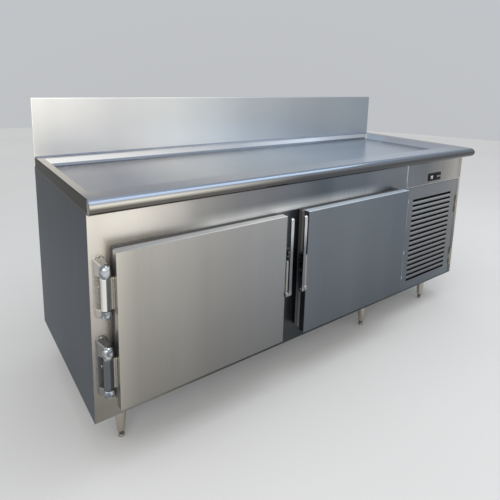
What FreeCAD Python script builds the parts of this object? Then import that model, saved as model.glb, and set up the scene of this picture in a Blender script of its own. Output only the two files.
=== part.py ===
"""Two-door undercounter refrigerator with a marine-edge worktop and a side condensing unit.

Frame: +X runs along the front from left to right, +Y from front to back, +Z up.  The origin is
the middle of the footprint, on the floor.  All sizes are millimetres and come from the sheet.
"""
import FreeCAD, Part
import math
import os
from types import SimpleNamespace

from FreeCAD import Placement, Rotation, Vector

doc = FreeCAD.newDocument("undercounter_refrigerator")
sheet = doc.addObject("Spreadsheet::Sheet", "Sizes")

DRIVING_SIZES = [
    # cabinet
    ("cabinet_length", 2008), ("cabinet_depth", 724), ("leg_height", 150), ("body_height", 690),
    ("bay_length", 495), ("skin", 1.2), ("foam", 48), ("liner_sheet", 0.8),
    ("frame_sheet", 1.5), ("frame_depth", 40), ("breaker_thickness", 2), ("seam_stile_lap", 18),
    # worktop
    ("left_overhang", 2), ("right_overhang", 47), ("front_overhang", 47), ("top_sheet", 1.5),
    ("nosing_radius", 23.5), ("underlay", 8.5), ("deck_drop", 28), ("left_rim", 28),
    ("front_rim", 80), ("right_rim", 57), ("back_rim", 45), ("backsplash_height", 239),
    ("backsplash_depth", 20),
    # doors
    ("door_margin", 61), ("door_gap", 108), ("door_end_margin", 70), ("door_sill", 62),
    ("door_header", 116), ("pan_depth", 30), ("pan_sheet", 1.2), ("door_liner_depth", 20),
    ("door_liner_inset", 5), ("gasket_depth", 14.6), ("gasket_width", 18), ("gasket_gap", 0.4),
    ("opening_inset", 24),
    # door hinges
    ("barrel_radius", 13.5), ("barrel_height", 170), ("top_knuckle", 40), ("low_knuckle", 27),
    ("knuckle_gap", 0.5), ("hinge_offset", 23), ("hinge_stand", 33), ("hinge_top_drop", 127),
    ("hinge_low_rise", 125), ("frame_leaf_width", 36), ("frame_leaf_height", 202),
    ("frame_leaf_shift", 9), ("frame_leaf_rise", 5),
    ("leaf_thickness", 4), ("door_leaf_front", 12), ("door_leaf_back", 16), ("door_web_front", 8),
    ("door_web_back", 4), ("pin_radius", 4), ("pin_clearance", 0.05), ("screw_radius", 2.5),
    ("screw_head_radius", 4.5), ("screw_head_height", 2), ("screw_margin", 5.5),
    # door latches
    ("latch_body_width", 13), ("latch_body_depth", 34), ("latch_body_height", 152),
    ("lever_drop", 11), ("lever_width", 14), ("lever_thickness", 10), ("lever_length", 303),
    ("lever_boss_radius", 12), ("lever_gap", 0.5), ("lever_proud", 9), ("latch_pin_radius", 4),
    ("latch_setback", 4), ("latch_pin_seat", 8), ("latch_pin_end", 2),
    ("strike_width", 26), ("strike_height", 120), ("strike_depth", 24), ("strike_rise", 38),
    # machine bay front
    ("fascia_height", 132), ("right_stile", 46), ("bay_rail", 16),
    ("grille_reveal", 4), ("grille_sheet", 1.6), ("grille_gap", 0.5), ("grille_right_reveal", 34),
    ("slot_low_margin", 50), ("slot_right", 53), ("slot_height", 10), ("slot_pitch", 26.6),
    ("slot_top_drop", 68), ("slot_left", 59), ("grille_flange", 12),
    ("grille_flange_gap", 4), ("grille_barrel_gap", 1), ("fascia_lip", 16),
    ("grille_barrel_radius", 4.5), ("grille_pin_radius", 2), ("grille_leaf_width", 16),
    ("grille_hinge_height", 96), ("grille_hinge_top_drop", 142), ("grille_hinge_low_rise", 96),
    ("controller_width", 112), ("controller_height", 41), ("controller_depth", 55),
    ("controller_proud", 3), ("controller_left", 180), ("controller_drop", 76),
    ("controller_body_width", 76), ("controller_lip", 5), ("window_depth", 0.8),
    ("window_margin", 6), ("key_zone", 40), ("key_zone_margin", 3), ("key_pitch", 12),
    ("key_size", 8), ("key_depth", 1.6), ("key_proud", 0.8), ("key_travel", 1), ("key_clearance", 0.4),
    # legs
    ("leg_inset", 76), ("leg_left_inset", 105), ("leg_middle_inset", 177),
    ("leg_right_inset", 166),
    ("leg_top_radius", 25.5), ("leg_low_radius", 14), ("foot_height", 25), ("foot_radius", 10),
    ("stem_radius", 6), ("stem_length", 60), ("stem_room", 4), ("stem_clearance", 0.05),
    # shelves
    ("shelf_height", 260), ("shelf_rod", 3), ("shelf_wire", 1.6), ("shelf_wires", 18),
    ("shelf_gap", 4), ("pilaster_width", 22), ("pilaster_depth", 5), ("pilaster_top_gap", 37.2),
    ("pilaster_rise", 30), ("pilaster_inset", 60), ("pilaster_spread", 40), ("shelf_front_gap", 20),
    ("clip_height", 12), ("clip_length", 26), ("clip_reach", 14),
    # evaporator
    ("evaporator_length", 520), ("evaporator_depth", 300), ("evaporator_height", 84),
    ("evaporator_sheet", 1.2), ("evaporator_side_gap", 83), ("evaporator_back_gap", 60),
    ("evaporator_fan_radius", 33), ("evaporator_fan_clearance", 3), ("evaporator_hub_radius", 12),
    ("evaporator_hub_length", 16), ("evaporator_chord", 24), ("evaporator_fan_setback", 14),
    ("evaporator_shaft_radius", 3), ("shaft_clearance", 0.05), ("blade_thickness", 2),
    ("coil_depth", 80), ("coil_back_gap", 10), ("coil_side_gap", 30), ("coil_low_gap", 8),
    ("coil_end_sheet", 4), ("coil_end_lap", 2), ("evaporator_motor_radius", 22),
    ("evaporator_motor_length", 60), ("evaporator_motor_setback", 40), ("motor_bracket", 16),
    # condensing unit
    ("compressor_radius", 78), ("compressor_height", 170), ("compressor_back_gap", 172),
    ("compressor_lift", 22), ("compressor_shift", 40), ("saddle_reach", 12),
    ("saddle_half_depth", 60), ("saddle_sheet", 3), ("mount_radius", 10), ("mount_inset", 12),
    ("condenser_width", 330), ("condenser_height", 300), ("condenser_depth", 66),
    ("condenser_front_gap", 52), ("condenser_side_gap", 22), ("end_plate", 3), ("fin_lift", 2),
    ("shroud_depth", 30), ("shroud_sheet", 2), ("condenser_fan_radius", 120),
    ("condenser_fan_clearance", 5), ("condenser_hub_radius", 28), ("condenser_hub_length", 24),
    ("condenser_chord", 46), ("condenser_shaft_radius", 4), ("condenser_motor_radius", 38),
    ("condenser_motor_length", 62), ("condenser_motor_gap", 34), ("motor_arm_reach", 15),
    ("motor_arm_width", 16), ("motor_arm_sheet", 3),
    # refrigerant circuit and electrics
    ("tube_radius", 4.8), ("return_bends", 5), ("bend_first", 40), ("bend_pitch", 50),
    ("bend_reach", 12), ("bend_span", 25), ("bend_front", 20), ("electrical_box_width", 150),
    ("electrical_box_height", 190), ("electrical_box_depth", 88), ("electrical_box_rise", 360),
    ("electrical_box_setback", 200), ("gland_radius", 12), ("gland_nose_radius", 9),
    ("gland_length", 14), ("gland_nose", 12), ("gland_inset", 90), ("gland_rise", 110),
    ("drier_radius", 11), ("drier_length", 80), ("drier_taper", 14), ("drier_neck", 5),
]

for row, (alias, number) in enumerate(DRIVING_SIZES, start=1):
    sheet.set("A%d" % row, str(number))
    sheet.setAlias("A%d" % row, alias)
doc.recompute()


class Size:
    """A length with its number and the sheet expression that gives it."""

    def __init__(self, number, text):
        self.number = float(number)
        self.text = text

    @staticmethod
    def read(value):
        return value if isinstance(value, Size) else Size(value, "(%r)" % float(value))

    def joined(self, other, sign, number):
        return Size(number, "(%s %s %s)" % (self.text, sign, other.text))

    def __add__(self, other):
        other = Size.read(other)
        return self.joined(other, "+", self.number + other.number)

    def __sub__(self, other):
        other = Size.read(other)
        return self.joined(other, "-", self.number - other.number)

    def __mul__(self, other):
        other = Size.read(other)
        return self.joined(other, "*", self.number * other.number)

    def __truediv__(self, other):
        other = Size.read(other)
        return self.joined(other, "/", self.number / other.number)

    def __radd__(self, other):
        return Size.read(other) + self

    def __rsub__(self, other):
        return Size.read(other) - self

    def __rmul__(self, other):
        return Size.read(other) * self

    def __neg__(self):
        return Size.read(0) - self

    def __float__(self):
        return self.number


s = SimpleNamespace(**{
    alias: Size(float(sheet.get(alias)), "Sizes." + alias) for alias, _ in DRIVING_SIZES
})
NODES = {}

# ---------------------------------------------------------------- helpers


def bind(obj, prop, value):
    """Sets a property to a number, or to the sheet expression of a Size."""
    if isinstance(value, Size):
        obj.setExpression(prop, value.text)
    else:
        setattr(obj, prop, value)


def place(obj, point, rotation=None):
    """Puts an object's own origin at a point whose coordinates may be Sizes."""
    turn = rotation or Rotation()
    obj.Placement = Placement(Vector(*[float(value) for value in point]), turn)
    for axis, value in zip("xyz", point):
        if isinstance(value, Size):
            obj.setExpression("Placement.Base." + axis, value.text)
    return obj


TURN_TO = {
    "X": Rotation(Vector(0, 1, 0), 90),
    "Y": Rotation(Vector(1, 0, 0), -90),
    "Z": Rotation(),
}


def box(low, high):
    """A block between two corners."""
    obj = doc.addObject("Part::Box", "block")
    for prop, a, b in zip(("Length", "Width", "Height"), low, high):
        bind(obj, prop, Size.read(b) - a)
    return place(obj, low)


def rod(point, radius, length, axis="Z"):
    """A round bar that starts at a point and runs along an axis."""
    obj = doc.addObject("Part::Cylinder", "round_bar")
    bind(obj, "Radius", radius)
    bind(obj, "Height", length)
    return place(obj, point, TURN_TO[axis])


def taper(point, low_radius, high_radius, length, axis="Z"):
    """A cone frustum that starts at a point and runs along an axis."""
    obj = doc.addObject("Part::Cone", "taper")
    bind(obj, "Radius1", low_radius)
    bind(obj, "Radius2", high_radius)
    bind(obj, "Height", length)
    return place(obj, point, TURN_TO[axis])


def frustum(low_x, high_x, low_y, high_y, low_z, high_z, run_low, run_high):
    """A block whose four sides lean: run_low and run_high draw the bottom and top faces in."""
    obj = doc.addObject("Part::Wedge", "frustum")
    low_x, high_x = Size.read(low_x), Size.read(high_x)
    low_y, high_y = Size.read(low_y), Size.read(high_y)
    bind(obj, "Ymin", Size.read(low_z))
    bind(obj, "Ymax", Size.read(high_z))
    bind(obj, "Xmin", low_x + run_low)
    bind(obj, "Xmax", high_x - run_low)
    bind(obj, "X2min", low_x + run_high)
    bind(obj, "X2max", high_x - run_high)
    bind(obj, "Zmin", run_low - high_y)
    bind(obj, "Zmax", -low_y - run_low)
    bind(obj, "Z2min", run_high - high_y)
    bind(obj, "Z2max", -low_y - run_high)
    obj.Placement = Placement(Vector(), Rotation(Vector(1, 0, 0), 90))
    return obj


def plan_wedge(along_x, x_near, x_far, y_near, y_far, low_z, high_z):
    """A trapezium in plan, standing from low_z to high_z.

    With along_x true its two level edges run along X: x_near at y_near and x_far at y_far.
    Otherwise they run along Y: y_near at x_near and y_far at x_far.
    """
    obj = doc.addObject("Part::Wedge", "sector")
    if along_x:
        near, far, low, high = x_near, x_far, y_near, y_far
        bind(obj, "Zmin", Size.read(low_z))
        bind(obj, "Zmax", Size.read(high_z))
        bind(obj, "Z2min", Size.read(low_z))
        bind(obj, "Z2max", Size.read(high_z))
    else:
        near, far, low, high = y_near, y_far, x_near, x_far
        bind(obj, "Zmin", -Size.read(high_z))
        bind(obj, "Zmax", -Size.read(low_z))
        bind(obj, "Z2min", -Size.read(high_z))
        bind(obj, "Z2max", -Size.read(low_z))
        obj.Placement = Placement(Vector(), Rotation(Vector(1, 1, 0), 180))
    bind(obj, "Ymin", Size.read(low))
    bind(obj, "Ymax", Size.read(high))
    bind(obj, "Xmin", near[0])
    bind(obj, "Xmax", near[1])
    bind(obj, "X2min", far[0])
    bind(obj, "X2max", far[1])
    return obj


def fuse(*parts):
    obj = doc.addObject("Part::MultiFuse", "joined")
    obj.Shapes = list(parts)
    return obj


def cut(base, *tools):
    obj = doc.addObject("Part::Cut", "cut")
    obj.Base = base
    obj.Tool = tools[0] if len(tools) == 1 else fuse(*tools)
    return obj


def common(first, second):
    obj = doc.addObject("Part::Common", "shared")
    obj.Base = first
    obj.Tool = second
    return obj


def group(*parts):
    """Separate solids that share one node."""
    obj = doc.addObject("Part::Compound", "group")
    obj.Links = list(parts)
    return obj


def node(name, obj):
    """Names a finished sub-part, whose Label is its file name."""
    obj.Label = name
    NODES[name] = obj
    return obj


def solid(shape):
    """A shape worked out in code, as a document object."""
    obj = doc.addObject("Part::Feature", "shape")
    obj.Shape = shape
    return obj


def shell(low, high, wall, open_side):
    """A thin box, open on one side: 'back' is +Y, 'front' -Y, 'bottom' -Z and 'top' +Z."""
    inner_low = [Size.read(value) + wall for value in low]
    inner_high = [Size.read(value) - wall for value in high]
    axis, end = {"back": (1, high), "front": (1, low), "bottom": (2, low), "top": (2, high)}[open_side]
    side = inner_high if end is high else inner_low
    side[axis] = Size.read(end[axis])
    return cut(box(low, high), box(inner_low, inner_high))


def ring(low, high, width):
    """Four strips round an upright rectangle in the XZ plane: left, right, bottom and top."""
    (x1, y1, z1), (x2, y2, z2) = low, high
    return [
        box((x1, y1, z1), (x1 + width, y2, z2)),
        box((x2 - width, y1, z1), (x2, y2, z2)),
        box((x1 + width, y1, z1), (x2 - width, y2, z1 + width)),
        box((x1 + width, y1, z2 - width), (x2 - width, y2, z2)),
    ]


# ---------------------------------------------------------------- main places

lever_front = s.pan_depth + s.door_liner_depth + s.gasket_depth + s.gasket_gap + s.lever_proud
left = (s.left_overhang - s.cabinet_length - s.right_overhang) / 2
right = left + s.cabinet_length
front = (lever_front - s.cabinet_depth) / 2
back = front + s.cabinet_depth
floor_z = s.leg_height
body_top = floor_z + s.body_height
seam = right - s.bay_length

# inside of the refrigerated section
wall = s.skin + s.foam
inside_left = left + wall + s.liner_sheet
inside_right = seam - wall - s.liner_sheet
inside_front = front + s.frame_depth
inside_back = back - wall - s.liner_sheet
inside_floor = floor_z + wall + s.liner_sheet
inside_top = body_top - s.foam - s.liner_sheet

# doors
door_low = floor_z + s.door_sill
door_high = body_top - s.door_header
gasket_back = front - s.gasket_gap
liner_back = gasket_back - s.gasket_depth
pan_back = liner_back - s.door_liner_depth
door_front = pan_back - s.pan_depth
door_width = (seam - left - s.door_margin - s.door_gap - s.door_end_margin) / 2
left_door = (left + s.door_margin, left + s.door_margin + door_width)
right_door = (left_door[1] + s.door_gap, left_door[1] + s.door_gap + door_width)
opening_low = door_low + s.opening_inset
opening_high = door_high - s.opening_inset
hinge_y = front - s.hinge_stand
latch_foot_z = door_high - s.lever_drop - s.lever_length
hinge_levels = (door_high - s.hinge_top_drop, door_low + s.hinge_low_rise)

# worktop
deck_top = body_top + s.underlay + s.top_sheet
top_z = deck_top + s.deck_drop
nosing_x = right + s.right_overhang - s.nosing_radius
nosing_y = front - s.front_overhang + s.nosing_radius
nosing_z = top_z - s.nosing_radius
skirt_z = top_z - 2 * s.nosing_radius
top_left = left - s.left_overhang
splash_front = back - s.backsplash_depth
recess_x = (top_left + s.left_rim, nosing_x - s.right_rim)
recess_y = (nosing_y + s.front_rim, splash_front - s.back_rim)
slope_edge = s.top_sheet * math.sqrt(2)

# machine bay
bay_left = seam + s.seam_stile_lap
bay_right = right - s.right_stile
fascia_low = body_top - s.fascia_height
grille_x = (seam + s.grille_reveal, right - s.grille_right_reveal)
grille_z = (floor_z + s.bay_rail / 2, fascia_low - s.grille_reveal)
grille_back = front - s.grille_gap
grille_front = grille_back - s.grille_sheet


# ---------------------------------------------------------------- cabinet body


def cabinet_panels():
    """Outer sheets of the body, and the wall between the cold side and the machine bay."""
    node("side_panels", group(
        box((left, front, floor_z), (left + s.skin, back, body_top)),
        box((right - s.skin, front + s.frame_sheet, floor_z), (right, back, body_top)),
    ))
    node("back_panel", box((left + s.skin, back - s.skin, floor_z), (right - s.skin, back, body_top)))
    node("bottom_panel", box((left + s.skin, front + s.frame_sheet, floor_z),
                             (right - s.skin, back - s.skin, floor_z + s.skin)))
    node("bay_wall", box((seam - s.skin, front + s.frame_sheet, floor_z + s.skin),
                         (seam, back - s.skin, body_top)))


def face_frame():
    """Flush front plates round both door openings and the machine bay.

    Returns the foam blocks that fill the frame's rails and stiles.
    """
    y1, y2 = front, front + s.frame_sheet
    first = left + s.skin
    openings = [door[0] + s.opening_inset for door in (left_door, right_door)]
    closings = [door[1] - s.opening_inset for door in (left_door, right_door)]
    plates = [
        box((first, y1, floor_z), (openings[0], y2, body_top)),
        box((closings[0], y1, opening_low), (openings[1], y2, opening_high)),
        box((closings[1], y1, floor_z), (bay_left, y2, opening_high)),
        box((openings[0], y1, opening_high), (seam, y2, body_top)),
        box((openings[0], y1, floor_z), (closings[1], y2, opening_low)),
        box((seam, y1, opening_high), (bay_right, y2, fascia_low)),
        box((bay_left, y1, floor_z), (bay_right, y2, floor_z + s.bay_rail)),
        box((bay_right, y1, floor_z), (right, y2, fascia_low)),
    ]
    node("face_frame", group(*plates))

    lap = s.breaker_thickness
    core_y = (y2, front + s.frame_depth)
    base = floor_z + s.skin
    core = [
        box((first, core_y[0], base), (openings[0] - lap, core_y[1], body_top)),
        box((closings[0] + lap, core_y[0], opening_low - lap),
            (openings[1] - lap, core_y[1], opening_high + lap)),
        box((closings[1] + lap, core_y[0], base), (seam - s.skin, core_y[1], body_top)),
        box((openings[0] - lap, core_y[0], opening_high + lap),
            (closings[1] + lap, core_y[1], body_top)),
        box((openings[0] - lap, core_y[0], base), (closings[1] + lap, core_y[1], opening_low - lap)),
    ]

    strips = []
    for low_x, high_x in zip(openings, closings):
        strips += ring((low_x - lap, core_y[0], opening_low - lap),
                       (high_x + lap, core_y[1], opening_high + lap), lap)
    node("breaker_strips", group(*strips))
    return core


def insulated_box(frame_core):
    """Foam slabs of the cold side, those inside the face frame, and the bright liner."""
    y1, y2 = inside_front, back - s.skin
    foam_left, foam_right = inside_left - s.liner_sheet, inside_right + s.liner_sheet
    foam_back = inside_back + s.liner_sheet
    foam_floor, foam_top = inside_floor - s.liner_sheet, inside_top + s.liner_sheet
    base = floor_z + s.skin
    slabs = [
        box((left + s.skin, y1, base), (foam_left, y2, body_top)),
        box((foam_right, y1, base), (seam - s.skin, y2, body_top)),
        box((foam_left, foam_back, base), (foam_right, y2, body_top)),
        box((foam_left, y1, base), (foam_right, foam_back, foam_floor)),
        box((foam_left, y1, foam_top), (foam_right, foam_back, body_top)),
    ]
    node("cabinet_foam", group(*slabs, *frame_core))
    sheets = [
        box((foam_left, y1, inside_floor), (inside_left, foam_back, inside_top)),
        box((inside_right, y1, inside_floor), (foam_right, foam_back, inside_top)),
        box((inside_left, inside_back, inside_floor), (inside_right, foam_back, inside_top)),
        box((foam_left, y1, foam_floor), (foam_right, foam_back, inside_floor)),
        box((foam_left, y1, inside_top), (foam_right, foam_back, foam_top)),
    ]
    node("interior_liner", group(*sheets))


# ---------------------------------------------------------------- worktop


def worktop():
    """Sheet worktop: level rims, leaning inner faces and a sunk deck, with a rolled nosing."""
    x1, x2 = recess_x
    y1, y2 = recess_y
    edge, drop = slope_edge, s.deck_drop
    rim_low = top_z - s.top_sheet
    inner = frustum(x1, x2, y1, y2, deck_top, top_z, drop, 0)
    outer = frustum(x1 - edge, x2 + edge, y1 - edge, y2 + edge,
                    deck_top - s.top_sheet, top_z, drop + s.top_sheet, 0)
    collar = cut(outer, inner)
    under = deck_top - s.top_sheet
    near_x, far_x = (x1 - edge, x2 + edge), (x1 + drop, x2 - drop)
    near_y, far_y = (y1 - edge, y2 + edge), (y1 + drop, y2 - drop)
    sectors = [
        plan_wedge(True, near_x, far_x, y1 - edge, y1 + drop, under, top_z),
        plan_wedge(True, far_x, near_x, y2 - drop, y2 + edge, under, top_z),
        plan_wedge(False, x1 - edge, x1 + drop, near_y, far_y, under, top_z),
        plan_wedge(False, x2 - drop, x2 + edge, far_y, near_y, under, top_z),
    ]
    plates = [common(collar, sector) for sector in sectors]
    plates += [
        box((x1 + drop, y1 + drop, under), (x2 - drop, y2 - drop, deck_top)),
        box((top_left, nosing_y, rim_low), (nosing_x, y1 - edge, top_z)),
        box((top_left, y2 + edge, rim_low), (nosing_x, splash_front, top_z)),
        box((top_left, y1 - edge, rim_low), (x1 - edge, y2 + edge, top_z)),
        box((x2 + edge, y1 - edge, rim_low), (nosing_x, y2 + edge, top_z)),
        box((top_left, nosing_y, skirt_z), (top_left + s.top_sheet, splash_front, rim_low)),
    ]
    node("worktop_tray", group(*plates))
    node("worktop_nosing", group(front_nosing(), right_nosing()))
    node("worktop_underlay", box((left + s.skin, front + s.frame_sheet, body_top),
                                 (right - s.skin, splash_front - 1, under)))
    node("backsplash", shell((top_left, splash_front, body_top),
                             (nosing_x, back, top_z + s.backsplash_height), s.top_sheet, "bottom"))


def mitre_block(side):
    """A block on one side (-1 or +1) of the nosing corner's 45 degree plane."""
    reach = 6 * s.nosing_radius
    block = doc.addObject("Part::Box", "mitre")
    for prop in ("Length", "Width", "Height"):
        bind(block, prop, reach)
    half = reach / 2
    lean = math.sqrt(0.5)
    start_x = nosing_x + half * lean
    start_y = nosing_y - half * lean
    if side < 0:
        start_x = start_x - reach * lean
        start_y = start_y - reach * lean
    return place(block, (start_x, start_y, nosing_z - half), Rotation(Vector(0, 0, 1), 45))


def front_nosing():
    """Half-round roll along the front, closed at its left end, with its return below."""
    outer_right = right + s.right_overhang
    length = outer_right - top_left
    radius, bore = s.nosing_radius, s.nosing_radius - s.top_sheet
    roll = cut(rod((top_left, nosing_y, nosing_z), radius, length, "X"),
               rod((top_left + s.top_sheet, nosing_y, nosing_z), bore, length, "X"))
    half = common(roll, box((top_left, nosing_y - radius, skirt_z), (outer_right, nosing_y, top_z)))
    flange = box((top_left + s.top_sheet, nosing_y, skirt_z), (outer_right, front, skirt_z + s.top_sheet))
    return cut(fuse(half, flange), mitre_block(1))


def right_nosing():
    """Half-round roll along the right end, from the mitre to the back."""
    outer_front = front - s.front_overhang
    length = back - outer_front
    radius, bore = s.nosing_radius, s.nosing_radius - s.top_sheet
    roll = cut(rod((nosing_x, outer_front, nosing_z), radius, length, "Y"),
               rod((nosing_x, outer_front, nosing_z), bore, length, "Y"))
    half = common(roll, box((nosing_x, outer_front, skirt_z), (nosing_x + radius, back, top_z)))
    flange = box((right, outer_front, skirt_z), (nosing_x, back, skirt_z + s.top_sheet))
    return cut(fuse(half, flange), mitre_block(-1))


# ---------------------------------------------------------------- doors


def door(side, span):
    """One foamed door: outer pan, core, inner liner and compression gasket."""
    x1, x2 = span
    z1, z2 = door_low, door_high
    wall_gap, inset = s.pan_sheet, s.door_liner_inset
    pan = shell((x1, door_front, z1), (x2, pan_back, z2), wall_gap, "back")
    node(side + "_door_pan", pan)
    liner = shell((x1 + inset, pan_back, z1 + inset), (x2 - inset, liner_back, z2 - inset),
                  wall_gap, "front")
    node(side + "_door_liner", liner)
    thick = inset + wall_gap
    core = group(
        box((x1 + wall_gap, door_front + wall_gap, z1 + wall_gap),
            (x2 - wall_gap, pan_back, z2 - wall_gap)),
        box((x1 + thick, pan_back, z1 + thick), (x2 - thick, liner_back - wall_gap, z2 - thick)),
    )
    node(side + "_door_foam", core)
    seal = ring((x1 + inset, liner_back, z1 + inset), (x2 - inset, gasket_back, z2 - inset),
                s.gasket_width)
    node(side + "_door_gasket", group(*seal))


def hinge_x(side):
    return left_door[0] - s.hinge_offset if side == "left" else right_door[1] + s.hinge_offset


def leaf_x(side):
    """Middle of a frame leaf, set further from the door than its barrel."""
    return hinge_x(side) - s.frame_leaf_shift if side == "left" else hinge_x(side) + s.frame_leaf_shift


def frame_leaf(side, level):
    """Pill-shaped plate on the frame, with the top and bottom knuckles on webs."""
    x = hinge_x(side)
    middle = leaf_x(side)
    half = s.frame_leaf_width / 2
    leaf_y = front - s.leaf_thickness
    plate_low = level + s.frame_leaf_rise - s.frame_leaf_height / 2
    plate_high = level + s.frame_leaf_rise + s.frame_leaf_height / 2
    plate = fuse(
        box((middle - half, leaf_y, plate_low + half), (middle + half, front, plate_high - half)),
        rod((middle, leaf_y, plate_low + half), half, s.leaf_thickness, "Y"),
        rod((middle, leaf_y, plate_high - half), half, s.leaf_thickness, "Y"),
    )
    barrel_low = level - s.barrel_height / 2
    web_half = s.barrel_radius * 0.8
    solids = [plate]
    bands = ((barrel_low, s.low_knuckle), (barrel_low + s.barrel_height - s.top_knuckle, s.top_knuckle))
    for base, height in bands:
        solids.append(rod((x, hinge_y, base), s.barrel_radius, height))
        solids.append(box((x - web_half, hinge_y, base),
                          (x + web_half, front - s.leaf_thickness / 2, base + height)))
    holes = [rod((x, hinge_y, barrel_low), s.pin_radius, s.barrel_height)]
    for screw in screw_places(side, level):
        holes.append(rod(screw, s.screw_radius, s.leaf_thickness, "Y"))
    return cut(fuse(*solids), *holes)


def screw_places(side, level):
    """Three screws down the open part of each pill-shaped plate and at its two ends."""
    x = leaf_x(side)
    middle = level + s.frame_leaf_rise
    reach = s.frame_leaf_height / 2 - s.screw_margin
    return [(x, front - s.leaf_thickness, z) for z in (middle - reach, middle, middle + reach)]


def door_leaf(side, level):
    """Middle knuckle and the leaf on the door's edge."""
    x = hinge_x(side)
    low = level - s.barrel_height / 2 + s.low_knuckle + s.knuckle_gap
    high = level + s.barrel_height / 2 - s.top_knuckle - s.knuckle_gap
    if side == "left":
        web_x = (x, left_door[0])
        plate_x = (left_door[0] - s.leaf_thickness, left_door[0])
    else:
        web_x = (right_door[1], x)
        plate_x = (right_door[1], right_door[1] + s.leaf_thickness)
    knuckle = fuse(
        rod((x, hinge_y, low), s.barrel_radius, high - low),
        box((web_x[0], hinge_y - s.door_web_front, low), (web_x[1], hinge_y + s.door_web_back, high)),
        box((plate_x[0], hinge_y - s.door_leaf_front, low), (plate_x[1], hinge_y + s.door_leaf_back, high)),
    )
    return cut(knuckle, rod((x, hinge_y, low), s.pin_radius + s.pin_clearance, high - low))


def door_hinges():
    leaves, pins, screws = [], [], []
    for side in ("left", "right"):
        for level in hinge_levels:
            leaves.append(frame_leaf(side, level))
            pins.append(rod((hinge_x(side), hinge_y, level - s.barrel_height / 2),
                            s.pin_radius, s.barrel_height))
            for x, y, z in screw_places(side, level):
                head = rod((x, y - s.screw_head_height, z), s.screw_head_radius, s.screw_head_height, "Y")
                screws.append(fuse(head, rod((x, y, z), s.screw_radius, s.leaf_thickness, "Y")))
        node(side + "_door_hinge_leaves", group(*[door_leaf(side, level) for level in hinge_levels]))
    node("frame_hinge_leaves", group(*leaves))
    node("door_hinge_pins", group(*pins))
    node("hinge_screws", group(*screws))


def latch(side):
    """Edge-mounted latch: body on the door, and a tall lever that tips outwards about its foot."""
    out = 1 if side == "left" else -1
    door_edge = left_door[1] if side == "left" else right_door[0]
    foot_z = latch_foot_z
    pivot_y = door_front + s.lever_boss_radius - s.lever_proud

    def span(near, far):
        """X limits of a piece that lies between two distances from the door's edge."""
        ends = (door_edge + near, door_edge + far)
        return ends if out > 0 else (door_edge - far, door_edge - near)

    body_x = span(0, s.latch_body_width)
    body_low = foot_z - s.lever_boss_radius
    body_front = door_front + s.latch_setback
    body = box((body_x[0], body_front, body_low),
               (body_x[1], body_front + s.latch_body_depth, body_low + s.latch_body_height))
    pin_x = span(s.latch_body_width - s.latch_pin_seat,
                 s.latch_body_width + s.lever_gap + s.lever_width + s.latch_pin_end)
    pin, pin_seat = [rod((pin_x[0], pivot_y, foot_z), s.latch_pin_radius, pin_x[1] - pin_x[0], "X")
                     for _ in range(2)]
    ear = rod((body_x[0], pivot_y, foot_z), s.lever_boss_radius, s.latch_body_width, "X")
    node(side + "_latch_body", group(cut(fuse(body, ear), pin_seat), pin))

    lever_x = span(s.latch_body_width + s.lever_gap, s.latch_body_width + s.lever_gap + s.lever_width)
    arm_front = door_front - s.lever_proud
    nose = s.lever_thickness / 2
    arm_high = foot_z + s.lever_length - nose
    arm = fuse(
        rod((lever_x[0], pivot_y, foot_z), s.lever_boss_radius, s.lever_width, "X"),
        box((lever_x[0], arm_front, foot_z), (lever_x[1], arm_front + s.lever_thickness, arm_high)),
        rod((lever_x[0], arm_front + nose, arm_high), nose, s.lever_width, "X"),
    )
    bore = rod((lever_x[0], pivot_y, foot_z), s.latch_pin_radius + s.pin_clearance, s.lever_width, "X")
    node(side + "_latch_lever", cut(arm, bore))


def latch_strike():
    """Keeper block in the middle of the mullion, between both latches."""
    middle = (left_door[1] + right_door[0]) / 2
    low = latch_foot_z + s.strike_rise
    block = box((middle - s.strike_width / 2, front - s.strike_depth, low),
                (middle + s.strike_width / 2, front, low + s.strike_height))
    node("latch_strike", block)


# ---------------------------------------------------------------- machine bay front


def fascia_and_controller():
    """Control panel with its digital controller: a case with a sunk window, and three keys."""
    x1 = seam + s.controller_left
    z2 = body_top - s.controller_drop
    x2, z1 = x1 + s.controller_width, z2 - s.controller_height
    hole = (s.controller_width - s.controller_body_width) / 2
    lip = s.controller_lip
    panel = fuse(
        box((seam, front, fascia_low), (right, front + s.frame_sheet, body_top)),
        box((seam, front + s.frame_sheet, fascia_low),
            (right - s.skin, front + s.fascia_lip, fascia_low + s.frame_sheet)),
    )
    opening = box((x1 + hole, front, z1 + lip), (x2 - hole, front + s.frame_sheet, z2 - lip))
    node("control_fascia", cut(panel, opening))

    face_y = front - s.controller_proud
    case = fuse(
        box((x1, face_y, z1), (x2, front, z2)),
        box((x1 + hole, front, z1 + lip), (x2 - hole, front + s.controller_depth, z2 - lip)),
    )
    window_x = (x1 + s.window_margin, x2 - s.key_zone)
    window_z = (z1 + s.window_margin, z2 - s.window_margin)
    window = box((window_x[0], face_y, window_z[0]), (window_x[1], face_y + s.window_depth, window_z[1]))
    key_low = z1 + (s.controller_height - s.key_size) / 2
    wells = []
    for index, name in enumerate(("down", "up", "set")):
        low = (x2 - s.key_zone + s.key_zone_margin + index * s.key_pitch, face_y, key_low)
        high = (low[0] + s.key_size, face_y + s.key_depth, key_low + s.key_size)
        gap = s.key_clearance
        wells.append(box((low[0] - gap, face_y, low[2] - gap),
                         (high[0] + gap, high[1] + s.key_travel + gap, high[2] + gap)))
        node("controller_key_" + name, box((low[0], face_y - s.key_proud, low[2]), high))
    node("controller_case", cut(case, window, *wells))


def grille_hinge_levels():
    return (grille_z[1] - s.grille_hinge_top_drop, grille_z[0] + s.grille_hinge_low_rise)


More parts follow.
